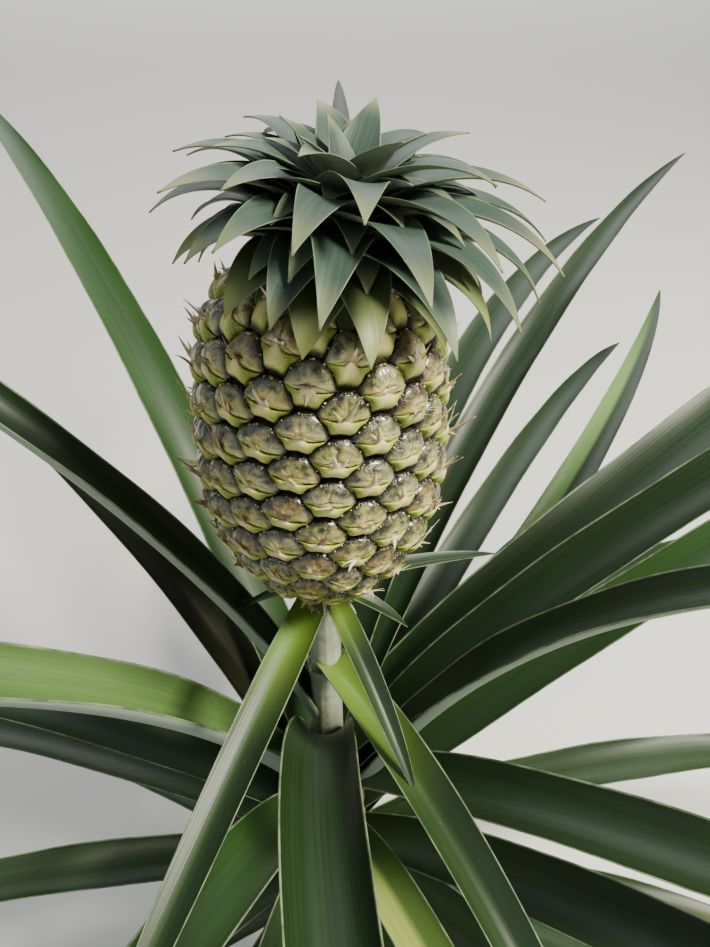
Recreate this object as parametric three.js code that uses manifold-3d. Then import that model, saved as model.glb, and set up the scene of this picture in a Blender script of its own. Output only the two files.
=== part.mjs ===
// Pineapple plant in fruit: stem, stalk, fruit, crown and a rosette of long channelled leaves.
// Millimetres, +Z up. The origin is the middle of the flat cut under the stem, at ground level.
// Azimuths are in degrees from the front (-Y), growing towards +X.
import * as THREE from "three";
import { mergeVertices } from "three/addons/utils/BufferGeometryUtils.js";
import Module from "manifold-3d";

const wasm = await Module();
wasm.setup();

// Driving dimensions
const CLEARANCE = 0.3;
const FRUIT_CENTRE = 510;
const FRUIT_HALF_HEIGHT = 95.8;
const FRUIT_RADIUS = 60.5;
const FRUIT_BASE = 418;
const FRUIT_TOP = 603;
const STEM_TOP = 252;
const STALK_RADIUS = 9.6;
const STALK_RING_HEIGHTS = [338, 400];
const CROWN_TILT = 10;
const CROWN_SHIFT = 6;
const CROWN_SKEW = 0.14;
const LEAF_THICKNESS = 7.2;
const STALK_LEAF_THICKNESS = 3.2;
const GOLDEN_TURN = 137.508;
const EYE_CREASE = -6;
const EYE_RELIEF = -0.5;
const EYE_TIP_RELIEF = 3.5;

// Colours
const LEAF_GREEN = 0x2f4a33;
const YOUNG_GREEN = 0x6c8f3c;
const STALK_GREEN = 0xa9ad98;
const STEM_BROWN = 0x6b6147;
const EYE_OLIVE = 0x9a9a6a;
const CROWN_GREEN = 0x5f766c;

const DEGREE = Math.PI / 180;

function seededRandom(seed) {
  let state = seed;
  return () => {
    state = (state * 1664525 + 1013904223) % 4294967296;
    return state / 4294967296;
  };
}

// Solids and meshes

function geometryOf(positions, triangles) {
  const geometry = new THREE.BufferGeometry();
  geometry.setAttribute("position", new THREE.Float32BufferAttribute(positions, 3));
  geometry.setIndex(triangles);
  return geometry;
}

function solidOf(geometry) {
  const bare = geometry.clone();
  bare.deleteAttribute("normal");
  bare.deleteAttribute("uv");
  const merged = mergeVertices(bare, 1e-4);
  const triVerts = new Uint32Array(merged.index.array);
  const vertProperties = new Float32Array(merged.attributes.position.array);
  return new wasm.Manifold(new wasm.Mesh({ numProp: 3, vertProperties, triVerts }));
}

function largestBody(solid) {
  let best = null;
  for (const body of solid.decompose()) {
    if (best === null || body.volume() > best.volume()) best = body;
  }
  return best;
}

function meshOf(name, solid, color, roughness) {
  const { vertProperties, triVerts } = solid.getMesh();
  const geometry = geometryOf(Array.from(vertProperties), Array.from(triVerts));
  geometry.computeVertexNormals();
  const material = new THREE.MeshStandardMaterial({ color, roughness, metalness: 0 });
  const mesh = new THREE.Mesh(geometry, material);
  mesh.name = name;
  return mesh;
}

// A body of revolution about the Z axis from (radius, height) pairs, given from the bottom up
function turned(profile, sides) {
  const points = profile.map(([radius, height]) => new THREE.Vector2(radius, height));
  return new THREE.LatheGeometry(points, sides).rotateX(Math.PI / 2);
}

function turnedSolid(profile, sides) {
  return solidOf(turned(profile, sides));
}

// Blades: rosette leaves, stalk leaves and crown leaves

// The middle line of a blade leaves its foot at the rise angle and bends to the tip angle
function bladeLine(leaf, steps) {
  const line = [];
  const heading0 = leaf.at * DEGREE;
  const point = new THREE.Vector3(
    leaf.footRadius * Math.sin(heading0), -leaf.footRadius * Math.cos(heading0), leaf.foot);
  for (let i = 0; i <= steps; i += 1) {
    const t = i / steps;
    const slope = (leaf.rise + (leaf.tip - leaf.rise) * t ** leaf.bend) * DEGREE;
    const heading = heading0 + leaf.drift * DEGREE * t;
    const along = new THREE.Vector3(
      Math.sin(heading) * Math.cos(slope), -Math.cos(heading) * Math.cos(slope), Math.sin(slope));
    const side = new THREE.Vector3(Math.cos(heading), Math.sin(heading), 0);
    const up = new THREE.Vector3().crossVectors(along, side);
    line.push({ t, point: point.clone(), side, up });
    point.addScaledVector(along, leaf.length / steps);
  }
  return line;
}

function bladeWidth(leaf, t) {
  const opening = leaf.footWidth + (1 - leaf.footWidth) * Math.sin(Math.min(t / 0.25, 1) * Math.PI / 2);
  return leaf.width * opening * (1 - t ** leaf.taper) ** leaf.point;
}

// One cross-section of the channel: under face from one edge to the other, then upper face back.
// A slim blade has sharp edges, so only its middle has an upper and an under point.
function bladeSection(leaf, station, grow) {
  const { t, point, side, up } = station;
  const half = leaf.cup * (1 - 0.35 * t) * DEGREE;
  const width = bladeWidth(leaf, t) + 2 * grow;
  const arcRadius = width / 2 / half;
  const thickness = leaf.thickness * (1 - 0.6 * t ** 2) + 2 * grow;
  const at = (turn, skin) => {
    const across = (arcRadius - skin) * Math.sin(turn);
    const rise = arcRadius * (1 - Math.cos(turn)) + skin * Math.cos(turn);
    return point.clone().addScaledVector(side, across).addScaledVector(up, rise);
  };
  const mid = thickness / 2;
  if (leaf.slim) return [at(-half, 0), at(0, -mid), at(half, 0), at(0, mid)];
  const edge = mid * 0.55;
  return [at(-half, -edge), at(0, -mid), at(half, -edge), at(half, edge), at(0, mid), at(-half, edge)];
}

function blade(leaf, grow = 0) {
  const fine = 60;
  const line = bladeLine(leaf, fine);
  const positions = [];
  const triangles = [];
  const count = leaf.stations;
  let sides = 0;
  for (let i = 0; i < count; i += 1) {
    const section = bladeSection(leaf, line[Math.round((i / count) ** 1.15 * fine)], grow);
    for (const p of section) positions.push(p.x, p.y, p.z);
    sides = section.length;
  }
  const apex = count * sides;
  const end = line[fine].point;
  positions.push(end.x, end.y, end.z);
  for (let k = 0; k < sides; k += 1) {
    const next = (k + 1) % sides;
    for (let i = 0; i + 1 < count; i += 1) {
      const a = i * sides + k;
      const b = i * sides + next;
      triangles.push(a, b, b + sides, a, b + sides, a + sides);
    }
    triangles.push(apex - sides + k, apex - sides + next, apex);
  }
  if (leaf.slim) triangles.push(0, 3, 1, 1, 3, 2);
  else triangles.push(0, 5, 1, 1, 5, 4, 1, 4, 2, 2, 4, 3);
  return geometryOf(positions, triangles);
}

function bladeSolid(leaf, grow = 0) {
  return solidOf(blade(leaf, grow));
}

// Stem and stalk

// (radius, height) from the flat cut at ground level to the top, which carries the stalk
const STEM_PROFILE = [
  [0, 0], [25, 0], [28, 25], [31, 90], [29, 165], [21, 225], [14, STEM_TOP], [0, STEM_TOP],
];
const STALK_RING_HALF = 5;
const STALK_RING_RELIEF = 1.6;

function grownProfile(profile, grow) {
  return profile.map(([radius, height]) => [radius > 0 ? radius + grow : 0, height]);
}

function stalkProfile(low, high) {
  const foot = STALK_RADIUS + 2;
  const profile = [[0, low], [foot, low]];
  for (const ring of STALK_RING_HEIGHTS) {
    profile.push([STALK_RADIUS, ring - STALK_RING_HALF]);
    profile.push([STALK_RADIUS + STALK_RING_RELIEF, ring]);
    profile.push([STALK_RADIUS, ring + STALK_RING_HALF]);
  }
  profile.push([foot, high], [0, high]);
  return profile;
}

// Fruit: a closed net of six-sided eyes on 8, 13 and 21 spirals

const EYE_FIRST = -27;
const EYE_LAST = 146;
const EYE_TURN = -137.317;
const EYE_START_ANGLE = -98;
const EYE_START = 40;
const EYE_INSET = 0.28;
const POLE_RADIUS = 6;
const SHOULDER_RADIUS = 25;

// Height of an eye as a share of the half height, from 1 at the top to -1 at the base
function eyeShare(n) {
  const m = (n - EYE_START) / 50;
  return THREE.MathUtils.clamp(0.24 - 0.51 * m - 0.01 * m ** 3, -0.985, 0.985);
}

function eyeAngle(n) {
  return EYE_START_ANGLE + EYE_TURN * (n - EYE_START);
}

// Turn from an eye to the one so many places on, to the nearest full turn
function spiralTurn(places) {
  const turn = places * EYE_TURN;
  return turn - 360 * Math.round(turn / 360);
}

function fruitRadius(share) {
  const fullness = share < 0 ? 1.72 : 5.64;
  return FRUIT_RADIUS * Math.sqrt(1 - Math.abs(share) ** fullness) * (1 - 0.1 * share);
}

function fruitPoint(angle, share, relief) {
  const radius = Math.max(fruitRadius(share), POLE_RADIUS) + relief * Math.sqrt(1 - share ** 4);
  return new THREE.Vector3(
    radius * Math.sin(angle * DEGREE),
    -radius * Math.cos(angle * DEGREE),
    FRUIT_CENTRE + FRUIT_HALF_HEIGHT * share + relief * 0.6 * share ** 3,
  );
}

// A corner where three eyes meet: eye n, the eye one spiral on, and eye n + 21
function eyeCorner(n, spiral) {
  const share = (eyeShare(n) + eyeShare(n + spiral) + eyeShare(n + 21)) / 3;
  const turn = (spiralTurn(spiral) + spiralTurn(21)) / 3;
  return fruitPoint(eyeAngle(n) + turn, share, EYE_CREASE);
}

function fruitSolid() {
  const positions = [];
  const triangles = [];
  const known = new Map();
  const edges = new Map();
  const add = (p) => {
    positions.push(p.x, p.y, p.z);
    return positions.length / 3 - 1;
  };
  const corner = (n, spiral) => {
    const key = `${n}/${spiral}`;
    if (!known.has(key)) known.set(key, add(eyeCorner(n, spiral)));
    return known.get(key);
  };
  const pointOf = (index) => new THREE.Vector3().fromArray(positions, index * 3);
  for (let n = EYE_FIRST; n <= EYE_LAST; n += 1) {
    const outer = [
      corner(n, 8), corner(n - 13, 13), corner(n - 21, 8),
      corner(n - 21, 13), corner(n - 8, 8), corner(n, 13),
    ].reverse();
    const crown = fruitPoint(eyeAngle(n), eyeShare(n), EYE_RELIEF);
    const base = fruitPoint(eyeAngle(n), eyeShare(n), EYE_CREASE);
    const lift = crown.clone().sub(base);
    const inner = outer.map((index) => add(pointOf(index).lerp(base, EYE_INSET).add(lift)));
    const tip = add(fruitPoint(eyeAngle(n), eyeShare(n) + 0.02, EYE_TIP_RELIEF));
    for (let k = 0; k < 6; k += 1) {
      const next = (k + 1) % 6;
      triangles.push(outer[k], outer[next], inner[next], outer[k], inner[next], inner[k]);
      triangles.push(inner[k], inner[next], tip);
      edges.set(`${outer[k]}>${outer[next]}`, [outer[k], outer[next]]);
    }
  }
  const topPole = add(new THREE.Vector3(0, 0, FRUIT_CENTRE + FRUIT_HALF_HEIGHT));
  const basePole = add(new THREE.Vector3(0, 0, FRUIT_CENTRE - FRUIT_HALF_HEIGHT));
  for (const [a, b] of edges.values()) {
    if (edges.has(`${b}>${a}`)) continue;
    const pole = pointOf(a).z > FRUIT_CENTRE ? topPole : basePole;
    triangles.push(b, a, pole);
  }
  return solidOf(geometryOf(positions, triangles));
}

function slab(low, high) {
  const side = 4 * FRUIT_RADIUS;
  const box = new THREE.BoxGeometry(side, side, high - low);
  box.translate(0, 0, (low + high) / 2);
  return solidOf(box);
}

// The fruit is cut flat where the crown and the stalk meet it
function trimmedFruit() {
  const above = slab(FRUIT_TOP, FRUIT_TOP + FRUIT_RADIUS);
  const below = slab(FRUIT_BASE - FRUIT_RADIUS, FRUIT_BASE);
  return largestBody(fruitSolid().subtract(above).subtract(below));
}

// A smooth body just outside the eyes, which keeps the crown and the leaves clear of them
function fruitEnvelope() {
  const bands = 24;
  const reach = 0.97;
  const low = FRUIT_BASE - CLEARANCE;
  const high = FRUIT_TOP + CLEARANCE;
  const profile = [[0, low]];
  for (let i = 0; i <= bands; i += 1) {
    const share = reach * (2 * (i / bands) - 1);
    const height = THREE.MathUtils.clamp(FRUIT_CENTRE + FRUIT_HALF_HEIGHT * share, low, high);
    const fuller = fruitRadius(share * reach);
    const radius = Math.max(fuller, SHOULDER_RADIUS) + EYE_TIP_RELIEF + 2 * CLEARANCE;
    profile.push([radius, height]);
  }
  profile.push([0, high]);
  return turnedSolid(profile, 48);
}

// Crown: a short core that carries spirals of recurved leaves

const CROWN_LEAVES = 56;
const CROWN_START = 212;
const CROWN_HEIGHT = 22;
const CROWN_FOOT = 24;
const CROWN_CORE = [[0, -8], [22, -8], [20, 6], [9, 24], [0, 28]];

// Length of a crown leaf by its place: short at the foot, long half way up, short at the heart
const CROWN_LENGTHS = [42, 56, 72, 82, 82, 66, 34];

function crownLength(share) {
  const place = share * (CROWN_LENGTHS.length - 1);
  const below = Math.min(Math.floor(place), CROWN_LENGTHS.length - 2);
  return THREE.MathUtils.lerp(CROWN_LENGTHS[below], CROWN_LENGTHS[below + 1], place - below);
}

function crownLeaf(i, random) {
  const share = i / (CROWN_LEAVES - 1);
  const heart = Math.max(0, share - 0.8) * 5;
  const at = CROWN_START + GOLDEN_TURN * i;
  return {
    at,
    foot: FRUIT_TOP + 2 + CROWN_HEIGHT * share,
    footRadius: CROWN_FOOT * (1 - share) ** 1.5 + 1,
    rise: 14 + 48 * share + 12 * heart + 8 * (random() - 0.5),
    tip: -80 + 74 * share + 46 * heart + 16 * (random() - 0.5),
    length: crownLength(share) * (1 + CROWN_SKEW * Math.sin(at * DEGREE)) + 8 * (random() - 0.5),
    drift: 14 * (random() - 0.5),
    bend: 1.25,
    width: 34 - 11 * heart + 3 * (random() - 0.5),
    footWidth: 0.55,
    taper: 1.5,
    point: 1,
    cup: 38,
    thickness: 2,
    stations: 4,
    slim: true,
  };
}

// The crown leans to one side on top of the fruit
function leaning(geometry) {
  geometry.translate(0, 0, -FRUIT_TOP);
  geometry.rotateY(CROWN_TILT * DEGREE);
  geometry.translate(CROWN_SHIFT, 0, FRUIT_TOP);
  return geometry;
}

function crownSolid(fruitClear) {
  const random = seededRandom(22);
  const core = CROWN_CORE.map(([radius, height]) => [radius, height + FRUIT_TOP + CLEARANCE]);
  let crown = solidOf(leaning(turned(core, 12)));
  for (let i = 0; i < CROWN_LEAVES; i += 1) {
    crown = crown.add(solidOf(leaning(blade(crownLeaf(i, random)))));
  }
  return largestBody(crown.subtract(fruitClear));
}

// Rosette leaves. foot is the height on the stem, rise and tip are angles above level,
// drift is how far the heading turns on the way out, and a higher bend keeps the foot straight.
// The deeper the cup, the more a leaf folds into a channel. The highest leaves hug the stalk.

const HUGGING_FOOT = 250;
const HUGGING_RADIUS = 6;

const ROSETTE = [
  { at: -90.5, foot: 272, rise: 71.5, tip: 16, length: 690, drift: -5, bend: 0.95, width: 36, cup: 90 },
  { at: -6, foot: 250, rise: 72, tip: -52, length: 570, drift: 26, bend: 0.85, width: 51, cup: 74 },
  { at: 153.5, foot: 262, rise: 70.5, tip: -6, length: 565, drift: -13, bend: 0.6, width: 39 },
  { at: -147.5, foot: 220, rise: 51, tip: 7, length: 690, drift: 3, bend: 1.25, width: 41, cup: 37 },
  { at: 113, foot: 242, rise: 40.5, tip: 8, length: 695, drift: 14, bend: 0.75, width: 57, cup: 41 },
  { at: -65.5, foot: 187, rise: 68.5, tip: -4, length: 680, drift: 12, bend: 1.1, width: 57, cup: 92 },
  { at: 145.5, foot: 222, rise: 64, tip: 2, length: 710, drift: -5, bend: 0.55, width: 37, cup: 58 },
  { at: 69.5, foot: 162, rise: 71.5, tip: -21, length: 600, drift: -12, bend: 2, width: 44, cup: 77 },
  { at: 50.5, foot: 214, rise: 50.5, tip: -9, length: 670, drift: 13, bend: 0.65, width: 50, cup: 53 },
  { at: 175, foot: 200, rise: 59, tip: 3, length: 700, drift: 5, bend: 1.05, width: 45 },
  { at: -126, foot: 151, rise: 68, tip: 4, length: 520, drift: 1, bend: 1.1, width: 40, cup: 60 },
  { at: -29, foot: 185, rise: 57, tip: -39, length: 645, drift: 3, bend: 0.7, width: 48 },
  { at: 143.5, foot: 175, rise: 45.5, tip: -18, length: 690, drift: 3, bend: 0.65, width: 35 },
  { at: 99, foot: 155, rise: 48, tip: 10, length: 690, drift: 9, bend: 1.2, width: 48, cup: 38 },
  { at: 20, foot: 160, rise: 54, tip: -42, length: 520, drift: 8, bend: 0.8, width: 34 },
  { at: -91, foot: 150, rise: 50, tip: -5, length: 680, drift: 2, bend: 0.9, width: 48 },
  { at: 47, foot: 135, rise: 46, tip: -13, length: 700, drift: 3, bend: 1.1, width: 48 },
  { at: 129, foot: 127, rise: 39.5, tip: 2, length: 710, drift: 27, bend: 0.7, width: 41 },
  { at: 92.5, foot: 208, rise: 64, tip: 8, length: 690, drift: 16, bend: 0.9, width: 47, cup: 46 },
];

// Older leaves lower on the stem spread and droop, one after another round the golden angle.
// Some of them have been shed.
const OLD_LEAVES = 22;
const SHED_LEAVES = [1, 9, 16, 22];
const OLD_FOOT_TOP = 124;
const OLD_FOOT_STEP = 4.6;

function oldLeaf(i, random) {
  return {
    at: -150 + GOLDEN_TURN * i,
    foot: OLD_FOOT_TOP - OLD_FOOT_STEP * i,
    rise: 46 - 0.7 * i,
    tip: -32 + 0.9 * i + 8 * (random() - 0.5),
    length: 600 - 12 * i + 30 * (random() - 0.5),
    drift: 16 * (random() - 0.5),
    bend: 0.85,
    width: 45 - 0.4 * i,
  };
}

// Narrow leaves on the stalk, the highest of them right under the fruit
const STALK_LEAVES = [
  { at: -22, foot: 408, rise: -6, tip: -18, length: 262, drift: -2, bend: 1, width: 26 },
  { at: 24, foot: 407, rise: -14, tip: -38, length: 118, drift: 0, bend: 1, width: 17 },
  { at: 27, foot: 342, rise: 16, tip: -32, length: 320, drift: -5, bend: 1, width: 31 },
  { at: 108, foot: 406, rise: 2, tip: -8, length: 104, drift: -6, bend: 1, width: 15 },
  { at: 78, foot: 405, rise: -18, tip: -46, length: 52, drift: 6, bend: 1, width: 13 },
  { at: -96, foot: 405, rise: -14, tip: -40, length: 50, drift: -4, bend: 1, width: 11 },
];

// Building

const plant = new THREE.Group();

plant.add(meshOf("stem", turnedSolid(STEM_PROFILE, 20), STEM_BROWN, 0.85));
const stalk = turnedSolid(stalkProfile(STEM_TOP + CLEARANCE, FRUIT_BASE - CLEARANCE), 14);
plant.add(meshOf("stalk", stalk, STALK_GREEN, 0.6));
plant.add(meshOf("fruit", trimmedFruit(), EYE_OLIVE, 0.5));

const fruitClear = fruitEnvelope();
const stemClear = turnedSolid(grownProfile(STEM_PROFILE, CLEARANCE), 20);
const stalkClear = turnedSolid(grownProfile(stalkProfile(STEM_TOP, FRUIT_BASE), CLEARANCE), 14);

plant.add(meshOf("crown", crownSolid(fruitClear), CROWN_GREEN, 0.55));

// A leaf is cut back where it would come nearer than the clearance to what is already in place
const placed = [];

function addLeaf(name, leaf, color) {
  let solid = bladeSolid(leaf).subtract(stemClear).subtract(stalkClear).subtract(fruitClear);
  for (const other of placed) solid = solid.subtract(other);
  plant.add(meshOf(name, largestBody(solid), color, 0.45));
  placed.push(bladeSolid(leaf, CLEARANCE));
}

const rosetteShape = {
  taper: 2.6,
  point: 0.8,
  footRadius: 14,
  footWidth: 0.7,
  cup: 44,
  thickness: LEAF_THICKNESS,
  stations: 11,
};
const oldShape = { ...rosetteShape, stations: 8 };
const stalkLeafShape = {
  ...rosetteShape,
  footRadius: 6,
  footWidth: 0.8,
  cup: 50,
  thickness: STALK_LEAF_THICKNESS,
  stations: 8,
};

ROSETTE.forEach((leaf, i) => {
  const footRadius = leaf.foot < HUGGING_FOOT ? rosetteShape.footRadius : HUGGING_RADIUS;
  addLeaf(`leaf_${i + 1}`, { ...rosetteShape, footRadius, ...leaf }, LEAF_GREEN);
});
const oldRandom = seededRandom(5);
for (let i = 0; i < OLD_LEAVES; i += 1) {
  const leaf = oldLeaf(i, oldRandom);
  if (!SHED_LEAVES.includes(i + 1)) addLeaf(`old_leaf_${i + 1}`, { ...oldShape, ...leaf }, LEAF_GREEN);
}
STALK_LEAVES.forEach((leaf, i) => {
  addLeaf(`stalk_leaf_${i + 1}`, { ...stalkLeafShape, ...leaf }, YOUNG_GREEN);
});

export default plant;
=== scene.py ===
"""Pineapple plant in fruit: stem, rosette of channelled leaves, stalk, fruit and crown."""

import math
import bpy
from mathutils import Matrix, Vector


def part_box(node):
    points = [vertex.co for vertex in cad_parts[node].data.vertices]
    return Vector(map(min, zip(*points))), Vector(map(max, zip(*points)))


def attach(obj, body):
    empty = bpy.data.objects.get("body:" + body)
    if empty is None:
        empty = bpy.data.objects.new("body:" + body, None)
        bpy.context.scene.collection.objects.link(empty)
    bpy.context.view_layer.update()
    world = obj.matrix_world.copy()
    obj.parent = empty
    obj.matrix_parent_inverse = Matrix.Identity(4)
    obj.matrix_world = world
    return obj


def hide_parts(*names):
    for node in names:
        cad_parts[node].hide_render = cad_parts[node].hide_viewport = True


bl_info = {
    "name": "Pineapple Plant",
    "version": (1, 0, 0),
    "blender": (4, 5, 0),
    "location": "3D View > Sidebar > Pineapple",
    "description": "Builds a pineapple plant in fruit, piece by piece, around its packed solids",
    "category": "Add Mesh",
}

from functools import cached_property

import bpy
import numpy as np
from bpy.props import FloatProperty, FloatVectorProperty, PointerProperty
from mathutils import Matrix, Vector

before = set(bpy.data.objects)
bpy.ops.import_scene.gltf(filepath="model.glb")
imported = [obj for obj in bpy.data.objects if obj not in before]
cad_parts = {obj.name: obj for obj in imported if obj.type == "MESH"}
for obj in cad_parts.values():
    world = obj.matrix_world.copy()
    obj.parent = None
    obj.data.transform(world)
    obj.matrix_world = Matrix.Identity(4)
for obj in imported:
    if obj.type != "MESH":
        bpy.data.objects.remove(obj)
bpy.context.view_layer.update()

MM = 0.001
GOLDEN_TURN = 137.508

# Heights in millimetres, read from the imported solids
STEM_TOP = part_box("stem")[1].z / MM
FRUIT_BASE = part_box("fruit")[0].z / MM
FRUIT_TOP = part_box("fruit")[1].z / MM


def linear(hexadecimal):
    """A colour as the renderer wants it, from its usual six digits."""
    parts = [int(hexadecimal[i : i + 2], 16) / 255 for i in (0, 2, 4)]
    return tuple(c / 12.92 if c <= 0.04045 else ((c + 0.055) / 1.055) ** 2.4 for c in parts)


def colour_property(name, hexadecimal, description):
    """A colour that the sidebar shows."""
    return FloatVectorProperty(
        name=name,
        description=description,
        default=linear(hexadecimal),
        min=0.0,
        max=1.0,
        size=3,
        subtype="COLOR",
    )


def size_property(name, millimetres, description):
    """A length that the sidebar shows, given here in millimetres."""
    return FloatProperty(
        name=name,
        description=description,
        default=millimetres * MM,
        min=0.0,
        subtype="DISTANCE",
        unit="LENGTH",
    )


class PineappleSizes(bpy.types.PropertyGroup):
    """Sizes of the dressed pieces."""

    blade_thickness: size_property("Blade thickness", 2.6, "Thickness of a long leaf in its middle")
    margin_tooth: size_property("Margin tooth", 1.1, "Length of a tooth on a leaf's margin")
    dome_height: size_property("Dome height", 1.1, "How far the dome of an eye stands over the fruit's round")
    bract_relief: size_property("Bract relief", 1.0, "How far the rim of a bract stands over its foot")
    spine_length: size_property("Spine length", 11.0, "Length of the dry point of a bract")
    bead_radius: size_property("Bead radius", 0.4, "Radius of the pale beads on the rim of a dome")


class PineappleColours(bpy.types.PropertyGroup):
    """Colours of the plant."""

    leaf_dark: colour_property("Leaf, dark", "0b1707", "Upper face of a rosette leaf in its darker lines")
    leaf_light: colour_property("Leaf, light", "1c3312", "Upper face of a rosette leaf in its lighter lines")
    # Leaf wax and sheen: the band along a leaf's middle, partly real wax and partly a painted sheen, a
    # painted reflection.
    leaf_wax_and_sheen: colour_property("Leaf, wax", "2f3d31", "Waxy band along the middle of a leaf")
    young_dark: colour_property("Young leaf, dark", "14240f", "Upper face of a leaf on the stalk")
    young_light: colour_property("Young leaf, light", "253917", "Lighter lines of a leaf on the stalk")
    silver: colour_property("Leaf, underside", "9aa79b", "Silvery scales on the under face of a leaf")
    margin: colour_property("Leaf margin", "76835f", "Pale edge of a leaf")
    crown_dark: colour_property("Crown, dark", "222f27", "Upper face of a crown leaf")
    crown_light: colour_property("Crown, light", "42554a", "Waxy bloom on a crown leaf")
    crown_tip: colour_property("Crown tips", "7b8259", "Dry pale end of a crown leaf")
    dome_dark: colour_property("Dome, dark", "1f260f", "Dome of an eye in its shaded lobes")
    dome_light: colour_property("Dome, light", "8f8c48", "Dome of an eye where it is waxy")
    bract_green: colour_property("Bract, green", "76892b", "Green sides of a bract")
    bract_pale: colour_property("Bract, pale", "ded687", "Pale middle of a bract")
    dry: colour_property("Dry points", "d6c598", "Dry points of the bracts")
    crevice: colour_property("Crevice", "1b1c0b", "Body of the fruit between its eyes")
    stalk: colour_property("Stalk", "b4b8a6", "Pale bloom on the stalk")
    bark: colour_property("Stem", "6b5a41", "Fibrous stem")
    floor: colour_property("Floor", "d8d6d1", "Plain studio floor")


# Shader node groups


def feed(tree, socket, value):
    """Gives a socket its value: another socket, a number, a colour triple or a colour's six digits."""
    if isinstance(value, bpy.types.NodeSocket):
        tree.links.new(value, socket)
    elif isinstance(value, (int, float)):
        socket.default_value = value
    else:
        colour = linear(value) if isinstance(value, str) else value
        socket.default_value = (*colour, 1.0)


def new_group(name, vector, numbers, outputs):
    """A group that takes a vector and numbers and puts out numbers, and its two end nodes."""
    group = bpy.data.node_groups.new(name, "ShaderNodeTree")
    group.interface.new_socket(name=vector, in_out="INPUT", socket_type="NodeSocketVector")
    for label, default in numbers.items():
        socket = group.interface.new_socket(name=label, in_out="INPUT", socket_type="NodeSocketFloat")
        socket.default_value = default
    for label in outputs:
        group.interface.new_socket(name=label, in_out="OUTPUT", socket_type="NodeSocketFloat")
    return group, group.nodes.new("NodeGroupInput"), group.nodes.new("NodeGroupOutput")


def math_node(tree, operation, first, second, clamp=False):
    """A Math node. Each operand is a socket or a number."""
    node = tree.nodes.new("ShaderNodeMath")
    node.operation = operation
    node.use_clamp = clamp
    feed(tree, node.inputs[0], first)
    feed(tree, node.inputs[1], second)
    return node.outputs[0]


def noise_node(tree, vector, scale, detail):
    """The value of a noise texture. scale is a socket or a number."""
    node = tree.nodes.new("ShaderNodeTexNoise")
    for label, value in (("Vector", vector), ("Scale", scale), ("Detail", detail), ("Roughness", 0.55)):
        feed(tree, node.inputs[label], value)
    return node.outputs["Fac"]


def range_node(tree, value, low, high, to_low=0.0, to_high=1.0):
    """A smooth clamped ramp from low to high. Each limit is a socket or a number."""
    node = tree.nodes.new("ShaderNodeMapRange")
    node.interpolation_type = "SMOOTHSTEP"
    given = {"Value": value, "From Min": low, "From Max": high, "To Min": to_low, "To Max": to_high}
    for label, each in given.items():
        feed(tree, node.inputs[label], each)
    return node.outputs["Result"]


def fine_lines_group():
    """Lines along a blade. Blade is (across, along, share) with lengths in metres."""
    numbers = {"Across Scale": 900.0, "Along Scale": 6.0, "Contrast": 0.5}
    group, entry, leave = new_group("Fine Lines", "Blade", numbers, ("Mask", "Height"))
    stretch = group.nodes.new("ShaderNodeCombineXYZ")
    feed(group, stretch.inputs[0], entry.outputs["Across Scale"])
    feed(group, stretch.inputs[1], entry.outputs["Along Scale"])
    scaled = group.nodes.new("ShaderNodeVectorMath")
    scaled.operation = "MULTIPLY"
    feed(group, scaled.inputs[0], entry.outputs["Blade"])
    feed(group, scaled.inputs[1], stretch.outputs[0])
    fine = noise_node(group, scaled.outputs[0], 1.0, 2.0)
    broad = noise_node(group, scaled.outputs[0], 0.22, 2.0)
    fine_share = math_node(group, "MULTIPLY", fine, 0.55)
    broad_share = math_node(group, "MULTIPLY", broad, 0.45)
    centred = math_node(group, "SUBTRACT", math_node(group, "ADD", fine_share, broad_share), 0.5)
    spread = math_node(group, "MULTIPLY", centred, entry.outputs["Contrast"])
    mask = math_node(group, "ADD", math_node(group, "MULTIPLY", spread, 4.0), 0.5, clamp=True)
    feed(group, leave.inputs["Mask"], mask)
    feed(group, leave.inputs["Height"], fine)
    return group


def mottling_group():
    """Soft patches, and small specks over them."""
    numbers = {"Patch Scale": 60.0, "Speck Scale": 900.0, "Speck Share": 0.3}
    group, entry, leave = new_group("Mottling", "Vector", numbers, ("Patches", "Specks"))
    patches = noise_node(group, entry.outputs["Vector"], entry.outputs["Patch Scale"], 3.0)
    specks = noise_node(group, entry.outputs["Vector"], entry.outputs["Speck Scale"], 1.0)
    edge = math_node(group, "SUBTRACT", 0.85, math_node(group, "MULTIPLY", entry.outputs["Speck Share"], 0.5))
    top = math_node(group, "ADD", edge, 0.08)
    feed(group, leave.inputs["Patches"], range_node(group, patches, 0.32, 0.68))
    feed(group, leave.inputs["Specks"], range_node(group, specks, edge, top))
    return group


NODE_GROUPS = {}


def place_group(tree, maker, *values):
    """Outputs of a group node with this material's own values, in the order of the group's inputs."""
    if maker not in NODE_GROUPS:
        NODE_GROUPS[maker] = maker()
    node = tree.nodes.new("ShaderNodeGroup")
    node.node_tree = NODE_GROUPS[maker]
    for socket, value in zip(node.inputs, values):
        feed(tree, socket, value)
    return node.outputs


# Materials


def mix_colours(tree, factor, first, second):
    """A colour mix. Each colour is a socket, a triple or six digits."""
    node = tree.nodes.new("ShaderNodeMix")
    node.data_type = "RGBA"
    feed(tree, node.inputs["Factor"], factor)
    for label, colour in (("A", first), ("B", second)):
        feed(tree, next(s for s in node.inputs if s.name == label and s.type == "RGBA"), colour)
    return next(s for s in node.outputs if s.type == "RGBA")


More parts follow.
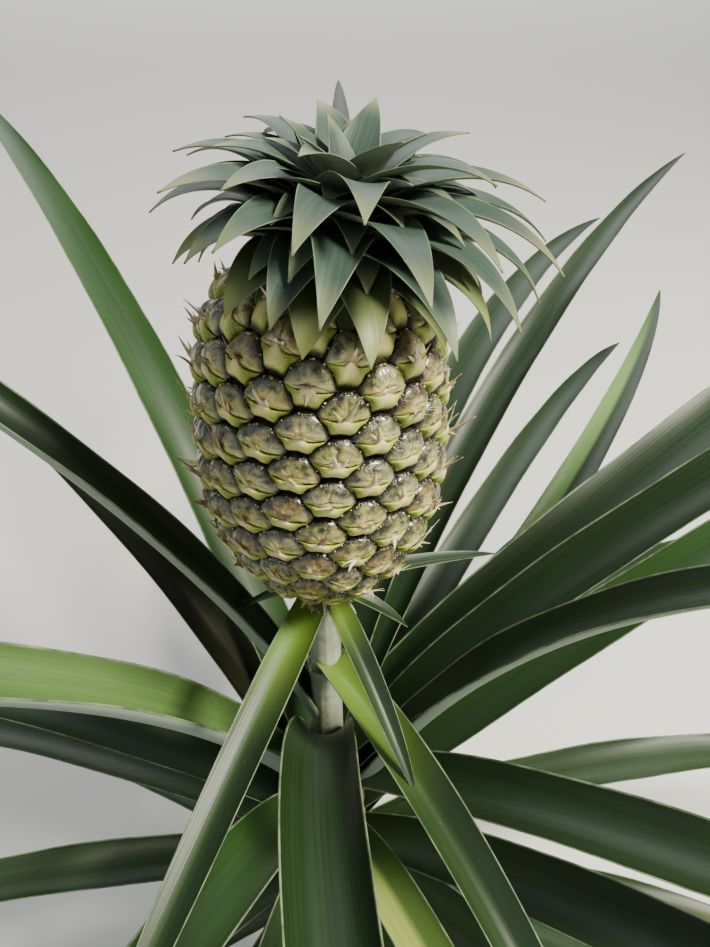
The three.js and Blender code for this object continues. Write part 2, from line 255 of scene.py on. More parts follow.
class Paint:
    """A material in the making: one Principled shader, and the colour mixed so far."""

    def __init__(self, name, colour, roughness, specular):
        self.material = bpy.data.materials.new(name)
        self.material.use_nodes = True
        self.tree = self.material.node_tree
        self.shader = self.tree.nodes["Principled BSDF"]
        self.colour = colour
        self.give("Roughness", roughness)
        self.give("Specular IOR Level", specular)

    @cached_property
    def blade(self):
        """The place on a blade that its mesh stores."""
        node = self.tree.nodes.new("ShaderNodeAttribute")
        node.attribute_name = "blade"
        return node.outputs["Vector"]

    @cached_property
    def place(self):
        """The place in the plant's own frame, in metres."""
        return self.tree.nodes.new("ShaderNodeTexCoord").outputs["Object"]

    def blade_parts(self):
        """The three parts of the place on a blade."""
        node = self.tree.nodes.new("ShaderNodeSeparateXYZ")
        feed(self.tree, node.inputs[0], self.blade)
        return node.outputs

    def lines(self, across_scale, along_scale, contrast):
        """Mask and height of fine lines along a blade."""
        return place_group(self.tree, fine_lines_group, self.blade, across_scale, along_scale, contrast)

    def mottling(self, patch_scale, speck_scale, speck_share):
        """Masks of soft patches and of small specks."""
        return place_group(self.tree, mottling_group, self.place, patch_scale, speck_scale, speck_share)

    def give(self, label, value):
        """Sets or links one of the shader's inputs."""
        feed(self.tree, self.shader.inputs[label], value)

    def mix(self, mask, colour):
        """Mixes in a colour by a mask."""
        self.colour = mix_colours(self.tree, mask, self.colour, colour)

    def share(self, mask, amount, colour):
        """Mixes in a colour by a share of a mask."""
        self.mix(math_node(self.tree, "MULTIPLY", mask, amount), colour)

    def ramp(self, value, limits, colour):
        """Mixes in a colour along a ramp: low, high, and how much of the colour each has."""
        self.mix(range_node(self.tree, value, *limits), colour)

    def roughen(self, mask, low, high):
        """Lets the roughness follow a mask."""
        self.give("Roughness", range_node(self.tree, mask, 0.0, 1.0, low, high))

    def bump(self, height, distance, strength):
        """Adds relief too fine for the mesh."""
        node = self.tree.nodes.new("ShaderNodeBump")
        for label, value in (("Distance", distance), ("Strength", strength), ("Height", height)):
            feed(self.tree, node.inputs[label], value)
        self.give("Normal", node.outputs["Normal"])

    def noise_bump(self, scale, distance, strength):
        """Adds relief from noise."""
        self.bump(noise_node(self.tree, self.place, scale, 4.0), distance, strength)

    def finish(self):
        """The material with its colour."""
        self.give("Base Color", self.colour)
        return self.material


def leaf_material(name, dark, light, foot, tip, gloss, half=None, sheen=None, tip_start=0.72, foot_end=0.3):
    """Upper face of a leaf: fine lines, a paler foot, its own tip colour, one half in another colour
    that is painted light on that half for some kinds and painted shade for others, and a waxy band
    along its middle that is partly a painted sheen."""
    paint = Paint(name, dark, gloss, 0.3)
    mask, height = paint.lines(700.0, 4.0, 0.45)
    across, _, share = paint.blade_parts()
    patches, specks = paint.mottling(14.0, 700.0, 0.2)
    paint.mix(mask, light)
    paint.share(patches, 0.35, light)
    if half is not None:
        # Painted light and shade across the channel: one half takes the half colour, paler where it stands
        # for the lit half, darker where it stands for the shaded half.
        paint.ramp(across, (-0.002, 0.004, 0.0, 0.85), half)
    # Band along the middle: partly real wax, partly a painted sheen (a painted reflection).
    if sheen is not None:
        away = math_node(paint.tree, "ABSOLUTE", across, 0.0)
        paint.share(range_node(paint.tree, away, 0.001, 0.012, 0.7, 0.0), mask, sheen)
    paint.ramp(share, (0.0, foot_end, 0.75, 0.0), foot)
    paint.ramp(share, (tip_start, 1.0, 0.0, 0.8), tip)
    paint.share(specks, 0.3, foot)
    paint.roughen(mask, gloss - 0.05, gloss + 0.1)
    paint.bump(height, 0.0004, 0.35)
    return paint.finish()


def underside_material(name, silver, green):
    """Under face of a leaf: silvery scales in lines."""
    paint = Paint(name, silver, 0.62, 0.3)
    mask, height = paint.lines(1100.0, 9.0, 0.6)
    paint.share(mask, 0.45, green)
    paint.bump(height, 0.0003, 0.4)
    return paint.finish()


def margin_material(name, pale, green):
    """Thin pale edge of a leaf."""
    paint = Paint(name, pale, 0.5, 0.4)
    paint.mix(paint.mottling(80.0, 900.0, 0.2)["Patches"], green)
    return paint.finish()


def dome_material(name, dark, light, green):
    """Waxy dome of an eye: a painted highlight in its middle, darker in its seams, painted shade at its
    edge, greener and paler below, partly a painted highlight there.
    """
    paint = Paint(name, dark, 0.3, 0.55)
    paint.give("Coat Weight", 0.8)
    paint.give("Coat Roughness", 0.14)
    patches, specks = paint.mottling(190.0, 1500.0, 0.3)
    ring, side, seam = paint.blade_parts()
    paint.mix(patches, light)
    # Greener and paler below: partly the dome's own colour, partly a painted highlight on its lit lower part.
    paint.ramp(side, (0.2, 0.8, 0.0, 0.85), green)
    # Painted highlight: paler cream in the middle of each dome.
    paint.ramp(ring, (0.1, 0.55, 0.65, 0.0), "ddd18c")
    paint.ramp(seam, (0.12, 0.8, 0.0, 0.9), "2e220c")
    # Painted shade: dark round the edge of each dome, where it sinks into the crevice.
    paint.ramp(ring, (0.66, 0.9, 0.0, 1.0), "171408")
    paint.share(specks, 0.6, "d3cea6")
    paint.roughen(patches, 0.2, 0.38)
    paint.noise_bump(420.0, 0.0014, 0.8)
    return paint.finish()


def bract_material(name, pale, green, dry):
    """Matte bract with a pale middle, greener sides and painted shade along its lower edge."""
    paint = Paint(name, pale, 0.5, 0.35)
    patches, specks = paint.mottling(170.0, 1700.0, 0.5)
    fibres, height = paint.lines(22.0, 1.5, 0.7)
    sideways, upward, dried = paint.blade_parts()
    paint.ramp(sideways, (0.04, 0.6, 0.0, 1.0), green)
    paint.share(fibres, 0.4, green)
    paint.share(patches, 0.35, green)
    paint.ramp(upward, (0.85, 1.0, 0.0, 0.55), "c3c24f")
    paint.ramp(dried, (0.2, 0.8, 0.0, 0.9), dry)
    # Painted shade: darker towards the bract's outer, lower edge, next to the crevice.
    paint.ramp(upward, (0.08, 0.4, 0.95, 0.0), "36350f")
    paint.share(specks, 0.5, pale)
    paint.bump(height, 0.0005, 0.6)
    return paint.finish()


def plain_material(name, first, second, roughness, patch_scale, bump_scale, bump_depth):
    """Two mottled colours with fine relief."""
    paint = Paint(name, first, roughness, 0.4)
    patches, specks = paint.mottling(patch_scale, 1100.0, 0.4)
    paint.mix(patches, second)
    paint.share(specks, 0.4, first)
    paint.noise_bump(bump_scale, bump_depth, 0.7)
    return paint.finish()


# Meshes


def make_piece(name, node, points, faces, materials, chosen=0, blade=None):
    """A smooth mesh piece that stands for a solid. points are in millimetres, faces are quads.
    chosen is one material index or one for each face."""
    mesh = bpy.data.meshes.new(name)
    faces = np.asarray(faces, np.int32)
    count, corners = faces.shape
    mesh.vertices.add(len(points))
    mesh.vertices.foreach_set("co", (np.asarray(points) * MM).astype(np.float32).ravel())
    mesh.loops.add(count * corners)
    mesh.loops.foreach_set("vertex_index", faces.ravel())
    mesh.polygons.add(count)
    mesh.polygons.foreach_set("loop_start", np.arange(count, dtype=np.int32) * corners)
    mesh.polygons.foreach_set("material_index", np.broadcast_to(chosen, count).astype(np.int32))
    mesh.polygons.foreach_set("use_smooth", np.ones(count, bool))
    if blade is not None:
        attribute = mesh.attributes.new("blade", "FLOAT_VECTOR", "POINT")
        attribute.data.foreach_set("vector", np.asarray(blade, np.float32).ravel())
    mesh.update(calc_edges=True)
    mesh.validate()
    for material in materials:
        mesh.materials.append(material)
    piece = bpy.data.objects.new(name, mesh)
    bpy.context.scene.collection.objects.link(piece)
    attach(piece, "root")
    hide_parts(node)


class MeshParts:
    """Many small meshes gathered into one."""

    def __init__(self):
        self.points = []
        self.faces = []
        self.chosen = []
        self.blade = []
        self.count = 0

    def add(self, points, faces, chosen, blade=(0, 0, 0)):
        """Adds one mesh. chosen is one material index or one for each face."""
        points = np.asarray(points, float).reshape(-1, 3)
        faces = np.asarray(faces, int).reshape(-1, 4)
        self.points.append(points)
        self.faces.append(faces + self.count)
        self.chosen.append(np.broadcast_to(chosen, len(faces)))
        self.blade.append(np.broadcast_to(np.asarray(blade, float), (len(points), 3)))
        self.count += len(points)

    def piece(self, name, node, slot, materials):
        """Makes the gathered mesh one piece."""
        gathered = (np.concatenate(each) for each in (self.points, self.faces, self.chosen, self.blade))
        points, faces, chosen, blade = gathered
        make_piece(name, node, points, faces, materials, chosen, blade)


def grid_faces(rows, columns, closed=False):
    """Quads over rows of points. closed joins the last column to the first."""
    i, j = np.meshgrid(np.arange(rows - 1), np.arange(columns if closed else columns - 1), indexing="ij")
    k = (j + 1) % columns
    quads = np.stack([i * columns + j, i * columns + k, (i + 1) * columns + k, (i + 1) * columns + j], -1)
    return quads.reshape(-1, 4)


def repeated(faces, count, points_each):
    """The same faces for each of many small meshes."""
    base = np.arange(count)[:, None, None] * points_each
    return (faces[None] + base).reshape(-1, 4)


def seeded_random(seed):
    """The same run of numbers as in the part's source."""
    state = seed
    while True:
        state = (state * 1664525 + 1013904223) % 4294967296
        yield state / 4294967296


# Blades: rosette leaves, stalk leaves and crown leaves

LINE_STEPS = 60


def middle_line(leaf):
    """Points, sides, ups and directions of a blade's middle line, by the source's rule."""
    t = np.linspace(0, 1, LINE_STEPS + 1)
    slope = np.radians(leaf["rise"] + (leaf["tip"] - leaf["rise"]) * t ** leaf["bend"])
    heading = np.radians(leaf["at"] + leaf["drift"] * t)
    along = np.stack([np.sin(heading) * np.cos(slope), -np.cos(heading) * np.cos(slope), np.sin(slope)], 1)
    side = np.stack([np.cos(heading), np.sin(heading), 0 * t], 1)
    up = np.cross(along, side)
    start = np.array([np.sin(heading[0]), -np.cos(heading[0]), 0]) * leaf["foot_radius"]
    start[2] = leaf["foot"]
    steps = np.cumsum(along[:-1] * leaf["length"] / LINE_STEPS, axis=0)
    points = start + np.vstack([np.zeros(3), steps])
    return t, points, side, up, along


def blade_width(leaf, t):
    """Width of a blade, measured round its channel."""
    opening = leaf["foot_width"] + (1 - leaf["foot_width"]) * np.sin(np.minimum(t / 0.25, 1) * np.pi / 2)
    return leaf["width"] * opening * np.maximum(1 - t ** leaf["taper"], 0) ** leaf["point"]


def resample(t, old_t, values):
    """Each column of values, read at new places."""
    return np.stack([np.interp(t, old_t, values[:, k]) for k in range(values.shape[1])], 1)


MARGIN_SHARE = 0.045
HEM_START = 0.62


def blade_mesh(leaf, stations, columns, thickness, turn=None):
    """A closed channelled blade: points, quads, material numbers (upper, under, margin) and places."""
    old_t, line, side, up, along = middle_line(leaf)
    t = np.linspace(0, 0.999, stations)
    line = resample(t, old_t, line)
    side = resample(t, old_t, side)
    up = resample(t, old_t, up)
    along = resample(t, old_t, along)
    roll = np.radians(leaf.get("roll", 0)) * t[:, None]
    side, up = side * np.cos(roll) + up * np.sin(roll), up * np.cos(roll) - side * np.sin(roll)

    inner = np.linspace(-1 + MARGIN_SHARE, 1 - MARGIN_SHARE, columns - 2)
    s = np.concatenate([[-1], inner, [1]])
    cup = np.radians(leaf["cup"]) * (1 - 0.35 * t)[:, None]
    hem = np.radians(leaf.get("hem", 0)) * np.clip((np.abs(s) - HEM_START) / (1 - HEM_START), 0, 1) ** 1.5
    tilt = np.sign(s) * (cup * np.abs(s) ** leaf.get("keel", 1.0) + hem * (1 - 0.3 * t)[:, None])
    half = np.maximum(blade_width(leaf, t), 0.8)[:, None] / 2
    gap = np.diff(s)
    cosine, sine = np.cos(tilt), np.sin(tilt)
    x = np.zeros_like(tilt)
    z = np.zeros_like(tilt)
    x[:, 1:] = np.cumsum((cosine[:, 1:] + cosine[:, :-1]) / 2 * gap, axis=1)
    z[:, 1:] = np.cumsum((sine[:, 1:] + sine[:, :-1]) / 2 * gap, axis=1)
    x = (x - (x[:, :1] + x[:, -1:]) / 2) * half
    middle = z[:, columns // 2 : columns // 2 + 1]
    z = (z - middle) * half
    phase = t[:, None] * leaf["length"] / 19 + 2 * np.sign(s)
    ripple = leaf.get("ripple", 0) * np.sin(phase) * np.abs(s) ** 3
    z = z + ripple * np.sin(np.pi * t)[:, None]
    skin = thickness / 2 * (1 - 0.55 * t)[:, None] * (1 - 0.72 * s**2)

    def place(offset):
        across = (x - sine * offset)[:, :, None] * side[:, None, :]
        rise = (z + cosine * offset)[:, :, None] * up[:, None, :]
        return line[:, None, :] + across + rise

    upper = place(skin)
    under = place(-skin)
    size = stations * columns
    points = np.concatenate([upper.reshape(-1, 3), under.reshape(-1, 3)])
    top = grid_faces(stations, columns)[:, [0, 3, 2, 1]]
    bottom = grid_faces(stations, columns) + size
    edge = np.zeros((stations - 1, columns - 1), int)
    edge[:, 0] = 2
    edge[:, -1] = 2
    under_edge = np.where(edge == 2, 2, 1)
    i = np.arange(stations - 1)
    left = np.stack([i * columns, size + i * columns, size + (i + 1) * columns, (i + 1) * columns], 1)
    r = i * columns + columns - 1
    right = np.stack([r, r + columns, size + r + columns, size + r], 1)
    j = np.arange(columns - 1)
    foot = np.stack([j, j + 1, size + j + 1, size + j], 1)
    e = (stations - 1) * columns + j
    tip = np.stack([e, size + e, size + e + 1, e + 1], 1)
    faces = np.concatenate([top, bottom, left, right, foot, tip])
    rims = len(left) + len(right) + len(foot) + len(tip)
    chosen = np.concatenate([edge.ravel(), under_edge.ravel(), np.full(rims, 2)])
    share = np.broadcast_to(t[:, None], tilt.shape)
    spot = np.stack([s * half * MM, share * leaf["length"] * MM, share], -1).reshape(-1, 3)
    blade = np.concatenate([spot, spot])
    rim = {"upper": upper, "under": under, "t": t}
    if turn is not None:
        points = turn(points)
        for key in ("upper", "under"):
            rim[key] = turn(rim[key].reshape(-1, 3)).reshape(rim[key].shape)
    return points, faces, chosen, blade, rim


def unit(vectors):
    """Vectors of length 1 in the same directions."""
    return vectors / np.maximum(np.linalg.norm(vectors, axis=-1, keepdims=True), 1e-9)


def add_teeth(parts, leaf, rim, spacing, length, seed):
    """Small forward-pointing teeth along both margins."""
    random = np.random.default_rng(seed)
    count = max(int(leaf["length"] * 0.9 / spacing), 3)
    places = 0.06 + 0.9 * (np.arange(count) + random.random(count) * 0.5) / count
    for column, outward in ((0, -1), (-1, 1)):
        edge = (rim["upper"][:, column] + rim["under"][:, column]) / 2
        inner = rim["upper"][:, column - outward] * 0.5 + rim["under"][:, column - outward] * 0.5
        at = resample(places, rim["t"], edge)
        away = unit(resample(places, rim["t"], edge - inner))
        forward = unit(resample(places, rim["t"], np.gradient(edge, axis=0)))
        height = np.cross(away, forward)
        size = length * (0.6 + 0.6 * random.random(count))[:, None]
        root = at - away * 0.35
        corners = [
            root - forward * size * 0.5,
            root + height * size * 0.22,
            root + forward * size * 0.5,
            root - height * size * 0.22,
        ]
        point = at + away * size * 0.75 + forward * size * 0.75
        points = np.stack([*corners, point], 1).reshape(-1, 3)
        base = np.arange(count)[:, None] * 5
        sides = [base + np.array([k, (k + 1) % 4, 4, 4]) for k in range(4)]
        faces = np.concatenate(sides)
        blade = np.repeat(np.stack([0 * places, places * leaf["length"] * MM, places], 1), 5, axis=0)
        parts.add(points, faces, 2, blade)


# Leaves of the rosette, as in the part's source: degrees and millimetres.
# The rows were fitted to the leaves' edges in the photo by another program and rounded.

ROSETTE = [
    dict(at=-90.5, foot=272, rise=71.5, tip=16, length=690, drift=-5, bend=0.95, width=36, cup=90),
    dict(at=-6, foot=250, rise=72, tip=-52, length=570, drift=26, bend=0.85, width=51, cup=74),
    dict(at=153.5, foot=262, rise=70.5, tip=-6, length=565, drift=-13, bend=0.6, width=39),
    dict(at=-147.5, foot=220, rise=51, tip=7, length=690, drift=3, bend=1.25, width=41, cup=37),
    dict(at=113, foot=242, rise=40.5, tip=8, length=695, drift=14, bend=0.75, width=57, cup=41),
    dict(at=-65.5, foot=187, rise=68.5, tip=-4, length=680, drift=12, bend=1.1, width=57, cup=92),
    dict(at=145.5, foot=222, rise=64, tip=2, length=710, drift=-5, bend=0.55, width=37, cup=58),
    dict(at=69.5, foot=162, rise=71.5, tip=-21, length=600, drift=-12, bend=2, width=44, cup=77),
    dict(at=50.5, foot=214, rise=50.5, tip=-9, length=670, drift=13, bend=0.65, width=50, cup=53),
    dict(at=175, foot=200, rise=59, tip=3, length=700, drift=5, bend=1.05, width=45),
    dict(at=-126, foot=151, rise=68, tip=4, length=520, drift=1, bend=1.1, width=40, cup=60),
    dict(at=-29, foot=185, rise=57, tip=-39, length=645, drift=3, bend=0.7, width=48),
    dict(at=143.5, foot=175, rise=45.5, tip=-18, length=690, drift=3, bend=0.65, width=35),
    dict(at=99, foot=155, rise=48, tip=10, length=690, drift=9, bend=1.2, width=48, cup=38),
    dict(at=20, foot=160, rise=54, tip=-42, length=520, drift=8, bend=0.8, width=34),
    dict(at=-91, foot=150, rise=50, tip=-5, length=680, drift=2, bend=0.9, width=48),
    dict(at=47, foot=135, rise=46, tip=-13, length=700, drift=3, bend=1.1, width=48),
    dict(at=129, foot=127, rise=39.5, tip=2, length=710, drift=27, bend=0.7, width=41),
    dict(at=92.5, foot=208, rise=64, tip=8, length=690, drift=16, bend=0.9, width=47, cup=46),
]
ROSETTE_SHAPE = {"taper": 2.6, "point": 0.8, "foot_radius": 14, "foot_width": 0.7, "cup": 44}
HUGGING_FOOT = 250
HUGGING_RADIUS = 6

OLD_LEAVES = 22
SHED_LEAVES = (1, 9, 16, 22)
OLD_FOOT_TOP = 124
OLD_FOOT_STEP = 4.6

STALK_LEAVES = [
    dict(at=-22, foot=408, rise=-6, tip=-18, length=262, drift=-2, bend=1, width=26),
    dict(at=24, foot=407, rise=-14, tip=-38, length=118, drift=0, bend=1, width=17),
    dict(at=27, foot=342, rise=16, tip=-32, length=320, drift=-5, bend=1, width=31),
    dict(at=108, foot=406, rise=2, tip=-8, length=104, drift=-6, bend=1, width=15),
    dict(at=78, foot=405, rise=-18, tip=-46, length=52, drift=6, bend=1, width=13),
    dict(at=-96, foot=405, rise=-14, tip=-40, length=50, drift=-4, bend=1, width=11),
]
STALK_LEAF_SHAPE = {"taper": 2.6, "point": 0.8, "foot_radius": 6, "foot_width": 0.8, "cup": 50}

DEEP_CUP = 70
# Kinds "light" (leaf 6) and "mid" (leaves 4, 12 and 14) are paler copies of the leaf colours: painted light
# for the sun falling on those leaves. "sided" has a painted lit half, "yellow" a painted shaded half.
ROSETTE_KINDS = {4: "mid", 6: "light", 11: "olive", 12: "mid", 14: "mid", 15: "yellow", 18: "sided"}


def old_leaves():
    """The older leaves by their numbers, by the source's rule and the same run of numbers."""
    random = seeded_random(5)
    leaves = {}
    for i in range(OLD_LEAVES):
        leaf = {"at": -150 + GOLDEN_TURN * i, "foot": OLD_FOOT_TOP - OLD_FOOT_STEP * i, "rise": 46 - 0.7 * i}
        leaf["tip"] = -32 + 0.9 * i + 8 * (next(random) - 0.5)
        leaf["length"] = 600 - 12 * i + 30 * (next(random) - 0.5)
        leaf["drift"] = 16 * (next(random) - 0.5)
        leaf["bend"] = 0.85
        leaf["width"] = 45 - 0.4 * i
        if i + 1 not in SHED_LEAVES:
            leaves[i + 1] = {**ROSETTE_SHAPE, **leaf}
    return leaves


# Crown. Its lengths and angles were searched for by another program, against leaf tips in the photo,
# and changed in part afterwards.

CROWN_TILT = 10
CROWN_SHIFT = 6
CROWN_SKEW = 0.14
CROWN_START = 212
CROWN_LEAVES = 56
CROWN_HEIGHT = 22
CROWN_FOOT = 24
CROWN_LENGTHS = [42, 56, 72, 82, 82, 66, 34]
CROWN_SHAPE = {"bend": 1.25, "foot_width": 0.55, "taper": 1.5, "point": 1.0, "cup": 38}
CROWN_CORE = [[0, -4], [20, -4], [18, 8], [8, 26], [0, 30]]

# Which of the crown's leaves are greener, and the shorter leaves added inside it
CROWN_GREEN_LEAVES = 14
DRY_TIP_SHARE = 0.25
SHORT_FIRST = 10
SHORT_LAST = 50
SHORT_SHARE = 0.64
SHORT_WIDTH = 26
SHORT_DRY_SHARE = 0.35

# Small leaves round the crown's foot
COLLAR_LEAVES = 21
COLLAR_RADIUS = 22
COLLAR_SHAPE = {"rise": -4, "tip": -84, "drift": 0, "bend": 0.8, "cup": 20, "hem": 8}


def crown_leaves():
    """The crown's leaves before they lean, by the source's rule."""
    random = seeded_random(22)
    leaves = []
    for i in range(CROWN_LEAVES):
        share = i / (CROWN_LEAVES - 1)
        heart = max(0, share - 0.8) * 5
        at = CROWN_START + GOLDEN_TURN * i
        length = float(np.interp(share * 6, range(7), CROWN_LENGTHS))
        leaf = {"at": at, "foot": FRUIT_TOP + 2 + CROWN_HEIGHT * share}
        leaf["foot_radius"] = CROWN_FOOT * (1 - share) ** 1.5 + 1
        leaf["rise"] = 14 + 48 * share + 12 * heart + 8 * (next(random) - 0.5)
        leaf["tip"] = -80 + 74 * share + 46 * heart + 16 * (next(random) - 0.5)
        leaf["length"] = length * (1 + CROWN_SKEW * math.sin(math.radians(at))) + 8 * (next(random) - 0.5)
        leaf["drift"] = 14 * (next(random) - 0.5)
        leaf["width"] = 34 - 11 * heart + 3 * (next(random) - 0.5)
        leaves.append({**CROWN_SHAPE, **leaf, "share": share})
    return leaves


def lean(points):
    """Leans points of the crown over, as the solid leans."""
    tilt = Matrix.Rotation(math.radians(CROWN_TILT), 3, "Y")
    base = np.array([0, 0, FRUIT_TOP])
    return (points - base) @ np.array(tilt).T + base + np.array([CROWN_SHIFT, 0, 0])


# Fruit: eyes on 8, 13 and 21 spirals

FRUIT_CENTRE = 510
FRUIT_HALF_HEIGHT = 95.8
FRUIT_RADIUS = 60.5
EYE_FIRST = -27
EYE_LAST = 146
EYE_TURN = -137.317
EYE_START_ANGLE = -98
EYE_START = 40
CREVICE = -4.6


def eye_share(n):
    """Height of an eye, from 1 at the top to -1 at the base."""
    m = (n - EYE_START) / 50
    return np.clip(0.24 - 0.51 * m - 0.01 * m**3, -0.985, 0.985)


def eye_angle(n):
    """Direction of an eye from the front, in degrees."""
    return EYE_START_ANGLE + EYE_TURN * (n - EYE_START)


def spiral_turn(places):
    """Turn from an eye to the one so many places on, to the nearest full turn."""
    turn = places * EYE_TURN
    return turn - 360 * round(turn / 360)


def fruit_radius(share):
    """Radius of the fruit at a height."""
    share = np.clip(share, -0.999, 0.999)
    fullness = np.where(share < 0, 1.72, 5.64)
    return FRUIT_RADIUS * np.sqrt(1 - np.abs(share) ** fullness) * (1 - 0.1 * share)


def fruit_point(angle, share, relief):
    """A point on the fruit's skin, lifted along its normal by relief."""
    radius = np.maximum(fruit_radius(share), 5)
    slope = (fruit_radius(share + 0.01) - fruit_radius(share - 0.01)) / 0.02
    length = np.hypot(FRUIT_HALF_HEIGHT, slope)
    outward = radius + relief * FRUIT_HALF_HEIGHT / length
    height = FRUIT_CENTRE + FRUIT_HALF_HEIGHT * share - relief * slope / length
    angle = np.radians(angle)
    return np.stack([outward * np.sin(angle), -outward * np.cos(angle), height], -1)


def eye_corner(n, spiral):
    """Direction from eye n, and height, of a corner of its six-sided cell."""
    share = (eye_share(n) + eye_share(n + spiral) + eye_share(n + 21)) / 3
    return eye_angle(n) + (spiral_turn(spiral) + spiral_turn(21)) / 3, share


def eye_cells():
    """For each eye its number, angle, share and corners in millimetres: left, upper left and so on round."""
    n = np.arange(EYE_FIRST, EYE_LAST + 1)
    angle = eye_angle(n)
    share = eye_share(n)
    radius = fruit_radius(share)
    corners = []
    for first, spiral in ((n - 13, 13), (n - 21, 8), (n - 21, 13), (n - 8, 8), (n, 13), (n, 8)):
        corner_angle, corner_share = eye_corner(first, spiral)
        turn = (corner_angle - angle + 180) % 360 - 180
        corners.append(np.stack([np.radians(turn) * radius, (corner_share - share) * FRUIT_HALF_HEIGHT], -1))
    return n, angle, share, radius, np.stack(corners, 1)


def on_fruit(cells, flat, relief):
    """Points of each eye, from flat places (eye, point, 2) and relief, in the plant's frame."""
    _, angle, share, radius, _ = cells
    turn = np.degrees(flat[..., 0] / radius[:, None])
    return fruit_point(angle[:, None] + turn, share[:, None] + flat[..., 1] / FRUIT_HALF_HEIGHT, relief)


def lower_curve(corners, samples, drop):
    """The smile between a dome and its bract, from the left corner to the right corner."""
    left, right = corners[:, 0], corners[:, 3]
    bottom = (corners[:, 4] + corners[:, 5]) / 2
    low = (left + right) / 2 * (1 - drop) + bottom * drop
    control = 2 * low - (left + right) / 2
    q = samples[None, :, None]
    return left[:, None] * (1 - q) ** 2 + control[:, None] * 2 * q * (1 - q) + right[:, None] * q**2


def upper_curve(corners, samples, fullness):
    """The arch over a dome, from the left corner to the right corner."""
    q = samples[None, :, None]
    first, last = corners[:, None, 0], corners[:, None, 3]
    rise, fall = corners[:, None, 1] * fullness, corners[:, None, 2] * fullness
    return first * (1 - q) ** 3 + 3 * rise * q * (1 - q) ** 2 + 3 * fall * q**2 * (1 - q) + last * q**3


DOME_SPOKES = 48
DOME_RINGS = np.array([0.004, 0.15, 0.28, 0.4, 0.51, 0.61, 0.7, 0.78, 0.85, 0.91, 0.96, 1.0])
DOME_ARCH = 1.52
DOME_DROP = 0.19
DOME_WIDE = 1.18
SEAM_WIDTH = 0.055
DOME_ROUND = 3.2


def bell(*parts):
    """A smooth bump, 1 in its middle. Each part is a distance from the middle and a width."""
    return np.exp(-sum((distance / width) ** 2 for distance, width in parts))


def seam_depth(u, v, shift, random):
    """How deep each point lies in the seams of an eye: a weak upright one and two that slope down."""
    upright = np.where(v > -0.1, np.abs(u - shift), np.hypot(u - shift, v + 0.1))
    reach = np.abs(u - shift)
    slope = np.abs(v + 0.1 + 0.3 * reach) / math.hypot(1, 0.3) + 0.08 * reach
    first = random.random((len(u), 1)) ** 1.5 * bell((upright, SEAM_WIDTH))
    second = (0.5 + 0.5 * random.random((len(u), 1))) * bell((slope, SEAM_WIDTH))
    return np.maximum(first, second)


def dome_relief(u, v, ring, height, random):
    """Relief of the domes, and how deep in a seam each point lies."""
    eyes = len(u)
    shift = (random.random((eyes, 1)) - 0.5) * 0.22
    phase = random.random((eyes, 1)) * 6.28
    wavy = u + 0.05 * np.sin(5 * v + phase) + 0.03 * np.sin(11 * v + 2 * phase)
    wavy_v = v + 0.05 * np.sin(4 * u + phase)
    seam = seam_depth(wavy, wavy_v, shift, random) * (1 - ring**6)
    pit = bell((u - shift, 0.2), (v + 0.1, 0.16))
    swell = bell((np.abs(u - shift) - 0.42, 0.26), (v - 0.12, 0.42))
    rib = np.sin(19 * u + 2 * phase + 4 * v) * np.sin(9 * v + phase + 3 * u)
    rim = bell((ring - 0.86, 0.07)) * (v > 0)
    spoke = np.arctan2(v + 0.15, u - shift)
    wrinkle = np.sin(11 * spoke + phase + 3 * ring) * np.sin(4 * spoke + 2 * phase) * np.sin(np.pi * ring)
    depth = 0.35 + 0.7 * random.random((eyes, 1))
    round_part = (height - CREVICE) * (1 - ring**DOME_ROUND) ** 0.6
    relief = (
        CREVICE
        + round_part
        - depth * seam
        - 0.6 * pit
        + 0.35 * swell
        + 0.16 * rib * (1 - ring)
        + 0.3 * rim
    )
    relief = np.maximum(relief + 0.3 * wrinkle, CREVICE)
    return relief, np.maximum(np.maximum(seam, 0.6 * pit), 0.7 * np.clip(-wrinkle, 0, 1))


def build_domes(sizes):
    """Meshes of all domes as (cells, points, faces, places), and what their beads follow."""
    cells = eye_cells()
    corners = cells[4]
    random = np.random.default_rng(21)
    arch = upper_curve(corners, np.linspace(0, 1, 25), DOME_ARCH)[:, :-1]
    smile = lower_curve(corners, np.linspace(1, 0, 25), DOME_DROP)[:, :-1]
    loop = np.concatenate([arch, smile], 1)
    centre = loop.mean(1, keepdims=True)
    loop = centre + (loop - centre) * np.array([DOME_WIDE, 1.0])
    ring = np.repeat(DOME_RINGS, DOME_SPOKES)[None, :]
    spokes = np.tile(loop, (1, len(DOME_RINGS), 1))
    flat = centre + (spokes - centre) * ring[..., None]
    half = (loop - centre).max(1) - (loop - centre).min(1)
    u = (flat - centre)[..., 0] / half[:, None, 0] * 2
    v = (flat - centre)[..., 1] / half[:, None, 1] * 2
    height = sizes.dome_height / MM + 0.6 * (random.random((len(corners), 1)) - 0.5)
    relief, seam = dome_relief(u, v, ring, height, random)
    points = on_fruit(cells, flat, relief)
    faces = grid_faces(len(DOME_RINGS), DOME_SPOKES, closed=True)
    all_faces = repeated(faces, len(corners), len(DOME_RINGS) * DOME_SPOKES)
    # side: 1 towards the lower part of a dome, where its material paints a greener colour that is partly a
    # painted highlight.
    side = np.clip(0.4 - v * 0.9, 0, 1)
    spot = np.stack([np.broadcast_to(ring, u.shape), side, seam], -1).reshape(-1, 3)
    return cells, points.reshape(-1, 3), all_faces, spot, loop, centre


